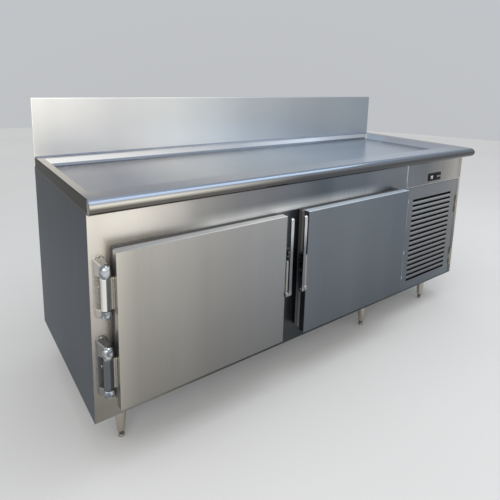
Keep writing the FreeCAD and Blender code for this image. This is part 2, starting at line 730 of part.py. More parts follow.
def grille():
    """Louvred service door, hung on two small butt hinges at its right edge."""
    x1, x2 = grille_x
    z1, z2 = grille_z
    gap = s.grille_flange_gap
    flange_x = (bay_left + gap, bay_right - gap)
    flange_z = (floor_z + s.bay_rail + gap, opening_high - gap)
    panel = box((x1, grille_front, z1), (x2, grille_back, z2))
    deep = grille_back + s.grille_flange
    flanges = [
        box((flange_x[0], grille_front, low), (flange_x[1], deep, low + s.grille_sheet))
        for low in (flange_z[0], flange_z[1] - s.grille_sheet)
    ]
    slots = []
    slot_run = z2 - z1 - s.slot_top_drop - s.slot_low_margin
    for index in range(int(float(slot_run / s.slot_pitch)) + 1):
        top = z2 - s.slot_top_drop + s.slot_height / 2 - index * s.slot_pitch
        slots.append(box((x1 + s.slot_left, grille_front, top - s.slot_height),
                         (x2 - s.slot_right, grille_back, top)))
    node("grille_door", cut(fuse(panel, *flanges), *slots))

    barrel_x = x2 + s.grille_barrel_radius + s.grille_barrel_gap
    barrel_y = grille_front - s.grille_barrel_radius * 0.6
    fixed, moving = [], []
    for level in grille_hinge_levels():
        low = level - s.grille_hinge_height / 2
        third = s.grille_hinge_height / 3
        radius, bore = s.grille_barrel_radius, s.grille_pin_radius
        fixed.append(rod((barrel_x, barrel_y, low), bore, s.grille_hinge_height))
        for base in (low, low + 2 * third):
            knuckle = fuse(
                rod((barrel_x, barrel_y, base), radius, third),
                box((barrel_x, front - s.grille_sheet, base),
                    (barrel_x + s.grille_leaf_width, front, base + third)),
                box((barrel_x, barrel_y, base), (barrel_x + radius, front, base + third)),
            )
            fixed.append(cut(knuckle, rod((barrel_x, barrel_y, base), bore, third)))
        clear = s.knuckle_gap
        inner = (low + third + clear, low + 2 * third - clear)
        swing = fuse(
            rod((barrel_x, barrel_y, inner[0]), radius, inner[1] - inner[0]),
            box((barrel_x - s.grille_leaf_width, grille_front - s.grille_sheet, inner[0]),
                (barrel_x, grille_front, inner[1])),
        )
        moving.append(cut(swing, rod((barrel_x, barrel_y, inner[0]), bore + s.pin_clearance,
                                     inner[1] - inner[0])))
    node("grille_frame_hinges", group(*fixed))
    node("grille_door_hinges", group(*moving))


# ---------------------------------------------------------------- legs


def legs():
    """Six tapered legs, each with a foot that screws out of it to level the cabinet."""
    bodies = []
    centres = []
    for x in (left + s.leg_left_inset, seam - s.leg_middle_inset, right - s.leg_right_inset):
        for y in (s.leg_inset, s.cabinet_depth - s.leg_inset):
            centres.append((x, front + y))
    bore_height = s.stem_length + s.stem_room
    for index, (x, y) in enumerate(centres):
        column = taper((x, y, s.foot_height), s.leg_low_radius, s.leg_top_radius,
                       s.leg_height - s.foot_height)
        bore = rod((x, y, s.foot_height), s.stem_radius + s.stem_clearance, bore_height)
        bodies.append(cut(column, bore))
        pad = s.foot_height / 5
        foot = fuse(
            taper((x, y, 0), s.foot_radius * 0.8, s.foot_radius, pad),
            rod((x, y, pad), s.foot_radius, s.foot_height - 2 * pad),
            rod((x, y, s.foot_height - pad), s.stem_radius, pad + s.stem_length),
        )
        name = "%s_%s_foot" % (("left", "middle", "right")[index // 2], ("front", "back")[index % 2])
        node(name, foot)
    node("legs", group(*bodies))


# ---------------------------------------------------------------- inside the cold side


def shelves():
    """Two wire shelves side by side, on clips hooked in slotted pilasters."""
    middle = (inside_left + inside_right) / 2
    y1 = inside_front + s.pilaster_depth + s.shelf_gap + s.shelf_front_gap
    y2 = inside_back - s.pilaster_depth - s.shelf_gap
    level = inside_floor + s.shelf_height
    spans = ((inside_left + s.pilaster_depth + s.shelf_gap, middle - s.shelf_gap),
             (middle + s.shelf_gap, inside_right - s.pilaster_depth - s.shelf_gap))
    racks = []
    for x1, x2 in spans:
        bars = [
            rod((x1, y1 + s.shelf_rod, level), s.shelf_rod, x2 - x1, "X"),
            rod((x1, y2 - s.shelf_rod, level), s.shelf_rod, x2 - x1, "X"),
            rod((x1, (y1 + y2) / 2, level), s.shelf_rod, x2 - x1, "X"),
        ]
        count = int(float(s.shelf_wires))
        for index in range(count):
            x = x1 + s.shelf_rod + (x2 - x1 - 2 * s.shelf_rod) * (index / (count - 1))
            bars.append(rod((x, y1 + s.shelf_rod, level + s.shelf_rod), s.shelf_wire,
                            y2 - y1 - 2 * s.shelf_rod, "Y"))
        racks.append(fuse(*bars))
    node("wire_shelves", group(*racks))

    half = s.pilaster_width / 2
    base, crest = inside_floor + s.pilaster_rise, inside_top - s.evaporator_height - s.pilaster_top_gap
    strips, clips = [], []
    clip_top = level - s.shelf_rod
    for x1, direction in ((inside_left, 1), (inside_right, -1)):
        for y in (y1 + s.pilaster_inset, y2 - s.pilaster_inset):
            near = x1 if direction > 0 else x1 - s.pilaster_depth
            strips.append(box((near, y - half, base), (near + s.pilaster_depth, y + half, crest)))
            start = x1 + s.pilaster_depth if direction > 0 else x1 - s.pilaster_depth - s.clip_reach
            clips.append(box((start, y - half, clip_top - s.clip_height),
                             (start + s.clip_reach, y + half, clip_top)))
    for x in (middle - s.pilaster_spread, middle + s.pilaster_spread):
        strips.append(box((x - half, inside_back - s.pilaster_depth, base),
                          (x + half, inside_back, crest)))
        clips.append(box((x - half, inside_back - s.pilaster_depth - s.clip_length, clip_top - s.clip_height),
                         (x + half, inside_back - s.pilaster_depth, clip_top)))
        strips.append(box((x - half, inside_front, base),
                          (x + half, inside_front + s.pilaster_depth, crest)))
        clips.append(box((x - half, inside_front + s.pilaster_depth, clip_top - s.clip_height),
                         (x + half, y1 + 2 * s.shelf_rod, clip_top)))
    node("shelf_supports", group(*strips, *clips))


def fan(radius, hub_radius, hub_length, blades, chord, bore):
    """A propeller about its own origin, whose shaft runs along Y."""
    solids = [rod((0, 0, 0), hub_radius, hub_length, "Y")]
    lean = 28
    for index in range(blades):
        blade = doc.addObject("Part::Box", "blade")
        bind(blade, "Length", chord)
        bind(blade, "Width", s.blade_thickness)
        bind(blade, "Height", radius - hub_radius / 2)
        turn = Rotation(Vector(0, 1, 0), 360.0 * index / blades)
        pitch = Rotation(Vector(0, 0, 1), lean)
        centre = Vector(0, float(hub_length) / 2, 0)
        corner = Vector(-float(chord) / 2, -float(s.blade_thickness) / 2, float(hub_radius) / 2)
        blade.Placement = Placement(turn.multVec(pitch.multVec(corner) + centre), turn.multiply(pitch))
        solids.append(blade)
    return cut(fuse(*solids), rod((0, 0, 0), bore, hub_length, "Y"))


def evaporator():
    """Ceiling-hung evaporator: housing, finned coil, motor and fan."""
    x2 = inside_right - s.evaporator_side_gap
    x1 = x2 - s.evaporator_length
    y2 = inside_back - s.evaporator_back_gap
    y1 = y2 - s.evaporator_depth
    z2 = inside_top
    z1 = z2 - s.evaporator_height
    sheet_t = s.evaporator_sheet
    fan_x, fan_z = (x1 + x2) / 2, (z1 + z2) / 2
    node("evaporator_housing", cut(
        box((x1, y1, z1), (x2, y2, z2)),
        box((x1 + sheet_t, y1 + sheet_t, z1 + sheet_t), (x2 - sheet_t, y2, z2)),
        rod((fan_x, y1, fan_z), s.evaporator_fan_radius + s.evaporator_fan_clearance, sheet_t, "Y"),
    ))

    side, lap = s.coil_side_gap, s.coil_end_lap
    coil_y = (y2 - s.coil_back_gap - s.coil_depth, y2 - s.coil_back_gap)
    coil_z = (z1 + s.coil_low_gap, z2 - s.coil_low_gap)
    pieces = [box((x1 + side, coil_y[0], coil_z[0]), (x2 - side, coil_y[1], coil_z[1]))]
    for end in (x1 + side - s.coil_end_sheet, x2 - side):
        pieces.append(box((end, coil_y[0] - lap, coil_z[0] - lap),
                          (end + s.coil_end_sheet, coil_y[1] + lap, coil_z[1] + lap)))
    node("evaporator_coil", fuse(*pieces))

    motor_y = y1 + s.evaporator_motor_setback
    bracket = s.motor_bracket / 2
    bracket_y = motor_y + s.evaporator_motor_length / 3
    fan_y = y1 + s.evaporator_fan_setback
    node("evaporator_motor", fuse(
        rod((fan_x, motor_y, fan_z), s.evaporator_motor_radius, s.evaporator_motor_length, "Y"),
        box((fan_x - bracket, bracket_y, fan_z), (fan_x + bracket, bracket_y + s.motor_bracket, z2)),
        rod((fan_x, fan_y, fan_z), s.evaporator_shaft_radius, motor_y - fan_y, "Y"),
    ))
    wheel = fan(s.evaporator_fan_radius, s.evaporator_hub_radius, s.evaporator_hub_length, 4,
                s.evaporator_chord, s.evaporator_shaft_radius + s.shaft_clearance)
    node("evaporator_fan", place(wheel, (fan_x, fan_y, fan_z)))


# ---------------------------------------------------------------- condensing unit


def bent_tube(points, bend, radius):
    """A round tube along straight runs that are joined by arcs of one bend radius."""
    spots = [Vector(*[float(value) for value in point]) for point in points]
    edges, start = [], spots[0]
    for before, corner, after in zip(spots, spots[1:], spots[2:]):
        first, second = (before - corner).normalize(), (after - corner).normalize()
        half_angle = first.getAngle(second) / 2
        reach = bend / math.tan(half_angle)
        entry, leave = corner + first * reach, corner + second * reach
        bisector = (first + second).normalize()
        middle = corner + bisector * (bend / math.sin(half_angle) - bend)
        edges.append(Part.LineSegment(start, entry).toShape())
        edges.append(Part.Arc(entry, middle, leave).toShape())
        start = leave
    edges.append(Part.LineSegment(start, spots[-1]).toShape())
    path = Part.Wire(edges)
    profile = Part.Wire(Part.makeCircle(radius, spots[0], spots[1] - spots[0]))
    return solid(path.makePipeShell([profile], True, False))


def compressor(centre_x, centre_y, deck):
    """Domed pot on a saddle plate with four rubber mounts; returns the level of its top."""
    low = deck + s.compressor_lift
    pot = rod((centre_x, centre_y, low), s.compressor_radius, s.compressor_height)
    dome = float(s.compressor_radius) * 0.55
    domed = doc.addObject("Part::Fillet", "domed_pot")
    domed.Base = pot
    domed.Edges = [(1, dome, dome), (3, dome, dome)]
    half_x, half_y = s.compressor_radius + s.saddle_reach, s.saddle_half_depth
    saddle = box((centre_x - half_x, centre_y - half_y, low - s.saddle_sheet),
                 (centre_x + half_x, centre_y + half_y, low))
    post = rod((centre_x, centre_y, low - s.saddle_sheet), s.compressor_radius * 0.4,
               s.saddle_sheet + s.compressor_height / 2)
    node("compressor", fuse(domed, saddle, post))
    mounts = []
    for side_x in (-1, 1):
        for side_y in (-1, 1):
            spot = (centre_x + side_x * (half_x - s.mount_inset),
                    centre_y + side_y * (half_y - s.mount_inset), deck)
            mounts.append(rod(spot, s.mount_radius, s.compressor_lift - s.saddle_sheet))
    node("compressor_mounts", group(*mounts))
    return low + s.compressor_height


def condenser(coil_x, coil_y, coil_z, deck):
    """Finned coil between two end plates, with the return bends of its tubes."""
    plate = s.end_plate
    pieces = [
        box((coil_x[0] + plate, coil_y[0], coil_z[0] + plate),
            (coil_x[1] - plate, coil_y[1], coil_z[1] - plate)),
        box((coil_x[0], coil_y[0] - plate, deck), (coil_x[0] + plate, coil_y[1], coil_z[1])),
        box((coil_x[1] - plate, coil_y[0] - plate, deck), (coil_x[1], coil_y[1], coil_z[1])),
    ]
    bend_y = coil_y[0] + s.bend_front
    for index in range(int(float(s.return_bends))):
        level = coil_z[0] + s.bend_first + index * s.bend_pitch
        for near, outer in ((coil_x[0] - s.bend_reach, coil_x[0] - s.bend_reach),
                            (coil_x[1], coil_x[1] + s.bend_reach)):
            for y in (bend_y, bend_y + s.bend_span):
                pieces.append(rod((near, y, level), s.tube_radius, s.bend_reach, "X"))
            pieces.append(rod((outer, bend_y, level), s.tube_radius, s.bend_span, "Y"))
    node("condenser_coil", fuse(*pieces))


def condenser_fan(coil_x, coil_z, shroud_y, deck):
    """Shroud behind the coil, the motor on its strap, and the fan."""
    fan_x, fan_z = (coil_x[0] + coil_x[1]) / 2, (coil_z[0] + coil_z[1]) / 2
    sheet_t = s.shroud_sheet
    node("fan_shroud", cut(
        box((coil_x[0], shroud_y[0], deck), (coil_x[1], shroud_y[1], coil_z[1])),
        box((coil_x[0] + sheet_t, shroud_y[0], deck + sheet_t),
            (coil_x[1] - sheet_t, shroud_y[1] - sheet_t, coil_z[1] - sheet_t)),
        rod((fan_x, shroud_y[0], fan_z), s.condenser_fan_radius + s.condenser_fan_clearance,
            s.shroud_depth, "Y"),
    ))
    motor_y = shroud_y[1] + s.condenser_motor_gap
    fan_y = shroud_y[1] - s.condenser_hub_length / 2
    arm, half, strap = s.condenser_fan_radius + s.motor_arm_reach, s.motor_arm_width / 2, s.motor_arm_sheet
    node("condenser_motor", fuse(
        rod((fan_x, motor_y, fan_z), s.condenser_motor_radius, s.condenser_motor_length, "Y"),
        rod((fan_x, fan_y, fan_z), s.condenser_shaft_radius, motor_y - fan_y, "Y"),
        box((fan_x - arm, motor_y, fan_z - half), (fan_x + arm, motor_y + strap, fan_z + half)),
        box((fan_x - arm, shroud_y[1], fan_z - half), (fan_x - arm + strap, motor_y, fan_z + half)),
        box((fan_x + arm - strap, shroud_y[1], fan_z - half), (fan_x + arm, motor_y, fan_z + half)),
    ))
    wheel = fan(s.condenser_fan_radius, s.condenser_hub_radius, s.condenser_hub_length, 5,
                s.condenser_chord, s.condenser_shaft_radius + s.shaft_clearance)
    node("condenser_fan", place(wheel, (fan_x, fan_y, fan_z)))


def electrics(deck):
    """Electrical box on the right side sheet, and the power inlet through the back."""
    box_right = right - s.skin
    low_y, low_z = front + s.electrical_box_setback, deck + s.electrical_box_rise
    node("electrical_box", box(
        (box_right - s.electrical_box_depth, low_y, low_z),
        (box_right, low_y + s.electrical_box_width, low_z + s.electrical_box_height)))
    gland_x, gland_z = right - s.gland_inset, floor_z + s.gland_rise
    gland_y = back - s.skin - s.gland_length
    node("power_inlet", fuse(
        rod((gland_x, gland_y, gland_z), s.gland_radius, s.gland_length, "Y"),
        rod((gland_x, gland_y - s.gland_nose, gland_z), s.gland_nose_radius, s.gland_nose, "Y"),
    ))


def refrigerant_lines(centre_x, centre_y, pot_top, coil_x, coil_y, coil_z, deck):
    """Copper lines from pot to coil, to the filter drier and through the wall to the cold side."""
    radius = float(s.tube_radius)
    drier_x, drier_y, drier_z = centre_x + 90, centre_y - 110, deck + 120
    taper_z = drier_z + s.drier_taper
    drier = fuse(
        taper((drier_x, drier_y, drier_z), s.drier_neck, s.drier_radius, s.drier_taper),
        rod((drier_x, drier_y, taper_z), s.drier_radius, s.drier_length),
        taper((drier_x, drier_y, taper_z + s.drier_length), s.drier_radius, s.drier_neck, s.drier_taper),
    )
    line_y = coil_y[0] + s.bend_front + s.bend_span / 2
    end_x = coil_x[1] + s.bend_reach + s.tube_radius
    reach_x = end_x + 13
    discharge = bent_tube([
        (centre_x + 30, centre_y, pot_top),
        (centre_x + 30, centre_y, pot_top + 70),
        (reach_x, centre_y, pot_top + 70),
        (reach_x, line_y, pot_top + 70),
        (reach_x, line_y, coil_z[1] - 30),
        (end_x, line_y, coil_z[1] - 30),
    ], 12, radius)
    suction = bent_tube([
        (centre_x - 30, centre_y, pot_top),
        (centre_x - 30, centre_y, pot_top + 200),
        (seam, centre_y, pot_top + 200),
    ], 25, radius * 1.4)
    liquid = bent_tube([
        (drier_x, drier_y, taper_z + s.drier_length + s.drier_taper),
        (drier_x, drier_y, pot_top + 250),
        (seam, drier_y, pot_top + 250),
    ], 20, radius * 0.8)
    feed = bent_tube([
        (end_x, line_y, coil_z[0] + 60),
        (reach_x + 10, line_y, coil_z[0] + 60),
        (reach_x + 10, drier_y, coil_z[0] + 60),
        (drier_x, drier_y, coil_z[0] + 60),
        (drier_x, drier_y, drier_z),
    ], 10, radius * 0.8)
    node("refrigerant_lines", group(discharge, suction, liquid, feed, drier))


def condensing_unit():
    """Compressor, condenser, fan, electrics and copper lines behind the service door."""
    deck = floor_z + s.skin
    centre_x = (seam + right) / 2 - s.compressor_shift
    centre_y = back - s.compressor_back_gap
    coil_left = bay_left + s.condenser_side_gap
    coil_front = front + s.condenser_front_gap
    coil_x = (coil_left, coil_left + s.condenser_width)
    coil_y = (coil_front, coil_front + s.condenser_depth)
    coil_z = (deck + s.fin_lift, deck + s.fin_lift + s.condenser_height)
    pot_top = compressor(centre_x, centre_y, deck)
    condenser(coil_x, coil_y, coil_z, deck)
    condenser_fan(coil_x, coil_z, (coil_y[1], coil_y[1] + s.shroud_depth), deck)
    electrics(deck)
    refrigerant_lines(centre_x, centre_y, pot_top, coil_x, coil_y, coil_z, deck)


def build():
    cabinet_panels()
    insulated_box(face_frame())
    worktop()
    for side, span in (("left", left_door), ("right", right_door)):
        door(side, span)
        latch(side)
    door_hinges()
    latch_strike()
    fascia_and_controller()
    grille()
    legs()
    shelves()
    evaporator()
    condensing_unit()


build()
doc.recompute()
for obj in doc.Objects:
    if "Invalid" in obj.State or "Error" in obj.State:
        raise RuntimeError("object %s (%s) failed: %s" % (obj.Name, obj.Label, obj.State))
for name, obj in NODES.items():
    shape = obj.Shape
    if shape.isNull() or not shape.isValid() or not shape.Solids:
        raise RuntimeError("sub-part %s has no valid solid" % name)
os.makedirs("parts", exist_ok=True)
for name, obj in NODES.items():
    obj.Shape.exportStep("parts/%s.step" % name)
print("nodes", len(NODES))
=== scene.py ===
import math

import bmesh
import bpy
import numpy as np
from mathutils import Matrix, Vector


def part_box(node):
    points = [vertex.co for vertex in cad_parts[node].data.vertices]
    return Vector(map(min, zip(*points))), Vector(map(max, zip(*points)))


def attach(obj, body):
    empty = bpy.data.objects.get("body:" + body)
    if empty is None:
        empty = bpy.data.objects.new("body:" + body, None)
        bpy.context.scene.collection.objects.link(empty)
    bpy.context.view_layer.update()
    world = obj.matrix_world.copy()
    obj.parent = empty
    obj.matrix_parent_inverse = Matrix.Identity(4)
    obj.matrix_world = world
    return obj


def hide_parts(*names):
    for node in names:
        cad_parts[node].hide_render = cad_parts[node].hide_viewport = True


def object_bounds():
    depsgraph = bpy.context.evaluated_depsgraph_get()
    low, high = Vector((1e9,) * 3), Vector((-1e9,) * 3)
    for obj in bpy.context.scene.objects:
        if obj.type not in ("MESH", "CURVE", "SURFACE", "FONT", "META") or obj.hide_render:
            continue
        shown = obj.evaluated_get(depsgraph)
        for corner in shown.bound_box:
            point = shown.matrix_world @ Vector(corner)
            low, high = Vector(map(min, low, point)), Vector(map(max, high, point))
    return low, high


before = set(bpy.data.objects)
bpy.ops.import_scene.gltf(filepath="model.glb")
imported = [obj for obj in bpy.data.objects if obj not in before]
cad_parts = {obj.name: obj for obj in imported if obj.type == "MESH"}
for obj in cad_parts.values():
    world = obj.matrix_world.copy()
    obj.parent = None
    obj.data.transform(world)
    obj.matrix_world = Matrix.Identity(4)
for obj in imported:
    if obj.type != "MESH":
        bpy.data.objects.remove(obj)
cad_low, cad_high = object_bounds()

MM = 0.001


# ================================================================ surfaces


def skin(grid, close_rows=False, close_columns=False, caps=False):
    """Quads between neighbouring points of a grid of rows and columns, with flat ends if asked."""
    rows, columns = grid.shape[:2]
    index = np.arange(rows * columns).reshape(rows, columns)
    ends = [index[0].tolist()[::-1], index[-1].tolist()]
    if close_rows:
        index = np.vstack([index, index[:1]])
    if close_columns:
        index = np.hstack([index, index[:, :1]])
    quads = np.stack([index[:-1, :-1], index[:-1, 1:], index[1:, 1:], index[1:, :-1]], -1)
    faces = quads.reshape(-1, 4).tolist()
    return grid.reshape(-1, 3), faces + ends if caps else faces


def solid(rows, closed=False):
    """A closed surface through rounds of points: capped at both ends, or closed into a loop."""
    return skin(np.array(rows), close_rows=closed, close_columns=True, caps=not closed)


def quarter(steps):
    """Angles of a quarter turn."""
    return np.linspace(0, math.pi / 2, steps + 1)


def join(*surfaces):
    """Several surfaces as one."""
    points, faces, start = [], [], 0
    for some_points, some_faces in surfaces:
        points.append(some_points)
        faces += [[corner + start for corner in face] for face in some_faces]
        start += len(some_points)
    return np.concatenate(points), faces


# For an axis: the two axes across it, and then itself.
ABOUT = {"x": "yzx", "y": "xzy", "z": "xyz"}


def order(u, v, w, axes):
    """Puts the coordinates u, v and w on the row axes that a word such as 'xzy' names."""
    places = {axes[0]: u, axes[1]: v, axes[2]: w}
    return np.stack(np.broadcast_arrays(places["x"], places["y"], places["z"]), -1)


def outline(u1, u2, v1, v2, corner, steps):
    """Rounded rectangle: four quarter circles of the corner radius, joined by straight sides."""
    corner = min(corner, (u2 - u1) / 2, (v2 - v1) / 2)
    sweep = quarter(steps)
    centres = ((u2 - corner, v2 - corner), (u1 + corner, v2 - corner),
               (u1 + corner, v1 + corner), (u2 - corner, v1 + corner))
    turns = [sweep + corner_number * math.pi / 2 for corner_number in range(4)]
    u = np.concatenate([centre[0] + corner * np.cos(turn) for centre, turn in zip(centres, turns)])
    v = np.concatenate([centre[1] + corner * np.sin(turn) for centre, turn in zip(centres, turns)])
    return u, v


def stack(rings, axes, closed=False, steps=5):
    """A skin through rounded rectangles (u1, u2, v1, v2, corner, w), capped at both ends unless closed."""
    rows = []
    for u1, u2, v1, v2, corner, w in rings:
        u, v = outline(u1, u2, v1, v2, corner, steps)
        rows.append(order(u, v, np.full_like(u, w), axes))
    return solid(rows, closed)


def shrunk(rect, inset, w):
    """A rounded rectangle drawn in by an inset, at height w."""
    u1, u2, v1, v2, corner = rect
    return (u1 + inset, u2 - inset, v1 + inset, v2 - inset, max(corner - inset, 0.0002), w)


def block(low, high, edge, corner=None, axis="y", round_low=True, round_high=True, steps=5):
    """A block with softened edges: its outline, drawn in along a quarter circle at each end of an axis."""
    u, v, w = ["xyz".index(letter) for letter in ABOUT[axis]]
    rect = (low[u], high[u], low[v], high[v], edge if corner is None else corner)
    start, end = [shrunk(rect, 0, low[w])], [shrunk(rect, 0, high[w])]
    if round_low:
        start = [shrunk(rect, edge * (1 - math.sin(a)), low[w] + edge * (1 - math.cos(a)))
                 for a in quarter(4)]
    if round_high:
        end = [shrunk(rect, edge * (1 - math.cos(a)), high[w] - edge * (1 - math.sin(a)))
               for a in quarter(4)]
    return stack(start + end, ABOUT[axis], steps=steps)


def turned(profile, centre, axis, sides):
    """A profile of (distance along the axis, radius) turned about an axis through a centre."""
    along, radius = np.array(profile, float).T[:, :, None]
    radius = np.maximum(radius, 1e-5)
    angle = np.linspace(0, 2 * math.pi, sides, endpoint=False)
    rounds = order(radius * np.cos(angle), radius * np.sin(angle), along + 0 * angle, ABOUT[axis])
    points, faces = solid(rounds)
    return points + np.asarray(centre, float), faces


def dome(low, high, radius, edge):
    """A profile for turned(): a bar of one radius whose two rims are quarter circles."""
    first = [(low + edge * (1 - math.cos(a)), radius - edge * (1 - math.sin(a))) for a in quarter(4)]
    last = [(high - edge * (1 - math.sin(a)), radius - edge * (1 - math.cos(a))) for a in quarter(4)]
    return [(low, 0)] + first + last + [(high, 0)]


def extruded(points, start, end, axes):
    """A closed outline of (u, v) points carried straight from start to end."""
    u, v = np.array(points, float).T
    return solid([order(u, v, np.full_like(u, w), axes) for w in (start, end)])


def tube(points, radius, sides=12):
    """A round wire: a circle carried along a line, in the plane across its direction at each point."""
    line = np.asarray(points, float)
    run = np.vstack([line[1:], line[-1:]]) - np.vstack([line[:1], line[:-1]])
    run = run / np.linalg.norm(run, axis=1)[:, None]
    guide = np.array([0.0, 0.0, 1.0]) if abs(run[:, 2]).max() < 0.9 else np.array([0.31, 0.95, 0.0])
    side = np.cross(run, guide)
    side = side / np.linalg.norm(side, axis=1)[:, None]
    up = np.cross(side, run)
    angle = np.linspace(0, 2 * math.pi, sides, endpoint=False)
    ring = np.cos(angle)[None, :, None] * side[:, None] + np.sin(angle)[None, :, None] * up[:, None]
    return solid(line[:, None] + radius * ring)


def new_object(name, points, faces, material):
    """A mesh object in the scene."""
    mesh = bpy.data.meshes.new(name)
    mesh.from_pydata(points.tolist(), [], faces)
    mesh.materials.append(material)
    made = bpy.data.objects.new(name, mesh)
    bpy.context.scene.collection.objects.link(made)
    return made


def piece(name, surface, look, body, replaces=(), crease=32):
    """Makes a mesh object from a surface, turns its faces outwards and lets it ride on a body."""
    made = new_object(name, *surface, LOOKS[look])
    mesh = made.data
    work = bmesh.new()
    work.from_mesh(mesh)
    bmesh.ops.remove_doubles(work, verts=work.verts, dist=1e-6)
    bmesh.ops.dissolve_degenerate(work, edges=work.edges, dist=1e-7)
    bmesh.ops.recalc_face_normals(work, faces=work.faces)
    work.to_mesh(mesh)
    work.free()
    mesh.shade_smooth()
    mesh.set_sharp_from_angle(angle=math.radians(crease))
    flat = made.modifiers.new("level_faces", "WEIGHTED_NORMAL")
    flat.mode = "FACE_AREA"
    flat.weight = 90
    flat.keep_sharp = True
    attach(made, body)
    if replaces:
        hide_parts(*replaces)


def dress(look, nodes):
    """Gives CAD nodes that keep their own shape a finished material."""
    for name in nodes:
        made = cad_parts[name]
        made.data.materials.clear()
        made.data.materials.append(LOOKS[look])


# ================================================================ materials


class Graph:
    """A node tree under construction."""

    def __init__(self, tree):
        self.tree = tree

    def feed(self, socket, value):
        """Sets a socket, or links it when the value comes out of a node."""
        value = getattr(value, "socket", value)
        if isinstance(value, bpy.types.NodeSocket):
            self.tree.links.new(value, socket)
        elif socket.type == "RGBA":
            socket.default_value = (*value[:3], 1.0)
        else:
            socket.default_value = value

    def add(self, kind, settings=None, values=None):
        node = self.tree.nodes.new(kind)
        for key, value in (settings or {}).items():
            setattr(node, key, value)
        for key, value in (values or {}).items():
            self.feed(node.inputs[key], value)
        return node

    def ramp(self, field, stops):
        """Colours along a number from 0 to 1: a stop is (place, grey) or (place, red, green, blue)."""
        node = self.add("ShaderNodeValToRGB", values={0: field})
        row = node.color_ramp.elements
        while len(row) < len(stops):
            row.new(0.5)
        for element, (place, *colour) in zip(row, stops):
            element.position = place
            element.color = (*(colour * 3)[:3], 1.0)
        return node.outputs["Color"]


class Field:
    """A number that changes over a surface; arithmetic on it adds Math nodes."""

    def __init__(self, graph, socket):
        self.graph = graph
        self.socket = socket

    def math(self, operation, first, second=0.0, clamp=False):
        settings = {"operation": operation, "use_clamp": clamp}
        node = self.graph.add("ShaderNodeMath", settings, {0: first, 1: second})
        return Field(self.graph, node.outputs[0])

    def __add__(self, other):
        return self.math("ADD", self, other)

    __radd__ = __add__

    def __sub__(self, other):
        return self.math("SUBTRACT", self, other)

    def __rsub__(self, other):
        return self.math("SUBTRACT", other, self)

    def __mul__(self, other):
        return self.math("MULTIPLY", self, other)

    __rmul__ = __mul__

    def __truediv__(self, other):
        return self.math("DIVIDE", self, other)

    def __pow__(self, other):
        return self.math("POWER", self, other)

    def least(self, other):
        return self.math("MINIMUM", self, other)

    def fraction(self):
        return self.math("FRACT", self)

    def clamped(self):
        return self.math("ADD", self, 0.0, clamp=True)

    def rise(self, start, end):
        """0 before start, 1 past end, and straight between them."""
        return ((self - start) / (end - start)).clamped()


class Look(Graph):
    """A material under construction: one Principled shader and whatever feeds it."""

    def __init__(self, name, **constants):
        self.material = bpy.data.materials.new(name)
        self.material.use_nodes = True
        super().__init__(self.material.node_tree)
        self.shader = self.tree.nodes["Principled BSDF"]
        for socket, value in constants.items():
            self.shade(socket.replace("_", " ").title(), value)

    def shade(self, socket, value):
        self.feed(self.shader.inputs[socket.replace("Ior", "IOR")], value)

    def place(self):
        """The point on the piece, in the row frame."""
        return self.add("ShaderNodeTexCoord").outputs["Object"]

    def along(self, axis):
        node = self.add("ShaderNodeSeparateXYZ", values={0: self.place()})
        return Field(self, node.outputs["xyz".index(axis)])

    def noise(self, scale, stretch=(1, 1, 1), detail=2.0, roughness=0.5):
        """Cloudy noise; stretch gives how much finer it is along each axis."""
        mapping = self.add("ShaderNodeMapping", values={"Vector": self.place(), "Scale": stretch})
        node = self.add("ShaderNodeTexNoise", values={
            "Vector": mapping.outputs[0], "Scale": scale, "Detail": detail, "Roughness": roughness})
        return Field(self, node.outputs["Fac"])

    def cells(self, scale):
        """Cells of random size, each with its own colour and the distance to its middle."""
        return self.add("ShaderNodeTexVoronoi", {"feature": "F1"}, {"Vector": self.place(), "Scale": scale})

    def blend(self, amount, first, second, how="MIX"):
        """Two colours mixed, or one worked on the other."""
        node = self.add("ShaderNodeMix", {"data_type": "RGBA", "blend_type": how},
                        {"Factor": amount, 6: first, 7: second})
        return node.outputs[2]

    def times(self, colour, field, stops):
        """A colour, made paler or darker by the stops along a number."""
        return self.blend(1.0, colour, self.ramp(field, stops), "MULTIPLY")

    def bump(self, height, distance, strength, soft_edge=0.0):
        """Relief from a height, over edges that catch the light as if slightly rounded."""
        values = {"Height": height, "Distance": distance, "Strength": strength}
        if soft_edge:
            values["Normal"] = self.add("ShaderNodeBevel", {"samples": 4}, {"Radius": soft_edge}).outputs[0]
        self.shade("Normal", self.add("ShaderNodeBump", values=values).outputs[0])


def painted_drift(axis, start, end, stops):
    """A colour that changes along an axis, used here to paint light, shade and reflections across a face."""
    return lambda look: look.ramp(look.along(axis).rise(start, end), stops)


def reflection_patches(scale, stops):
    """A colour in soft patches, as painted reflections that are brighter or darker in turn."""
    return lambda look: look.ramp(look.noise(scale, detail=1.0), stops)


def painted_roll_light(left, right, from_x, to_x, low_z, high_z):
    """Painted light round a roll's section, changing from one set of stops to another along it."""
    def colour(look):
        share = look.along("z").rise(low_z, high_z)
        return look.blend(look.along("x").rise(from_x, to_x), look.ramp(share, left), look.ramp(share, right))
    return colour


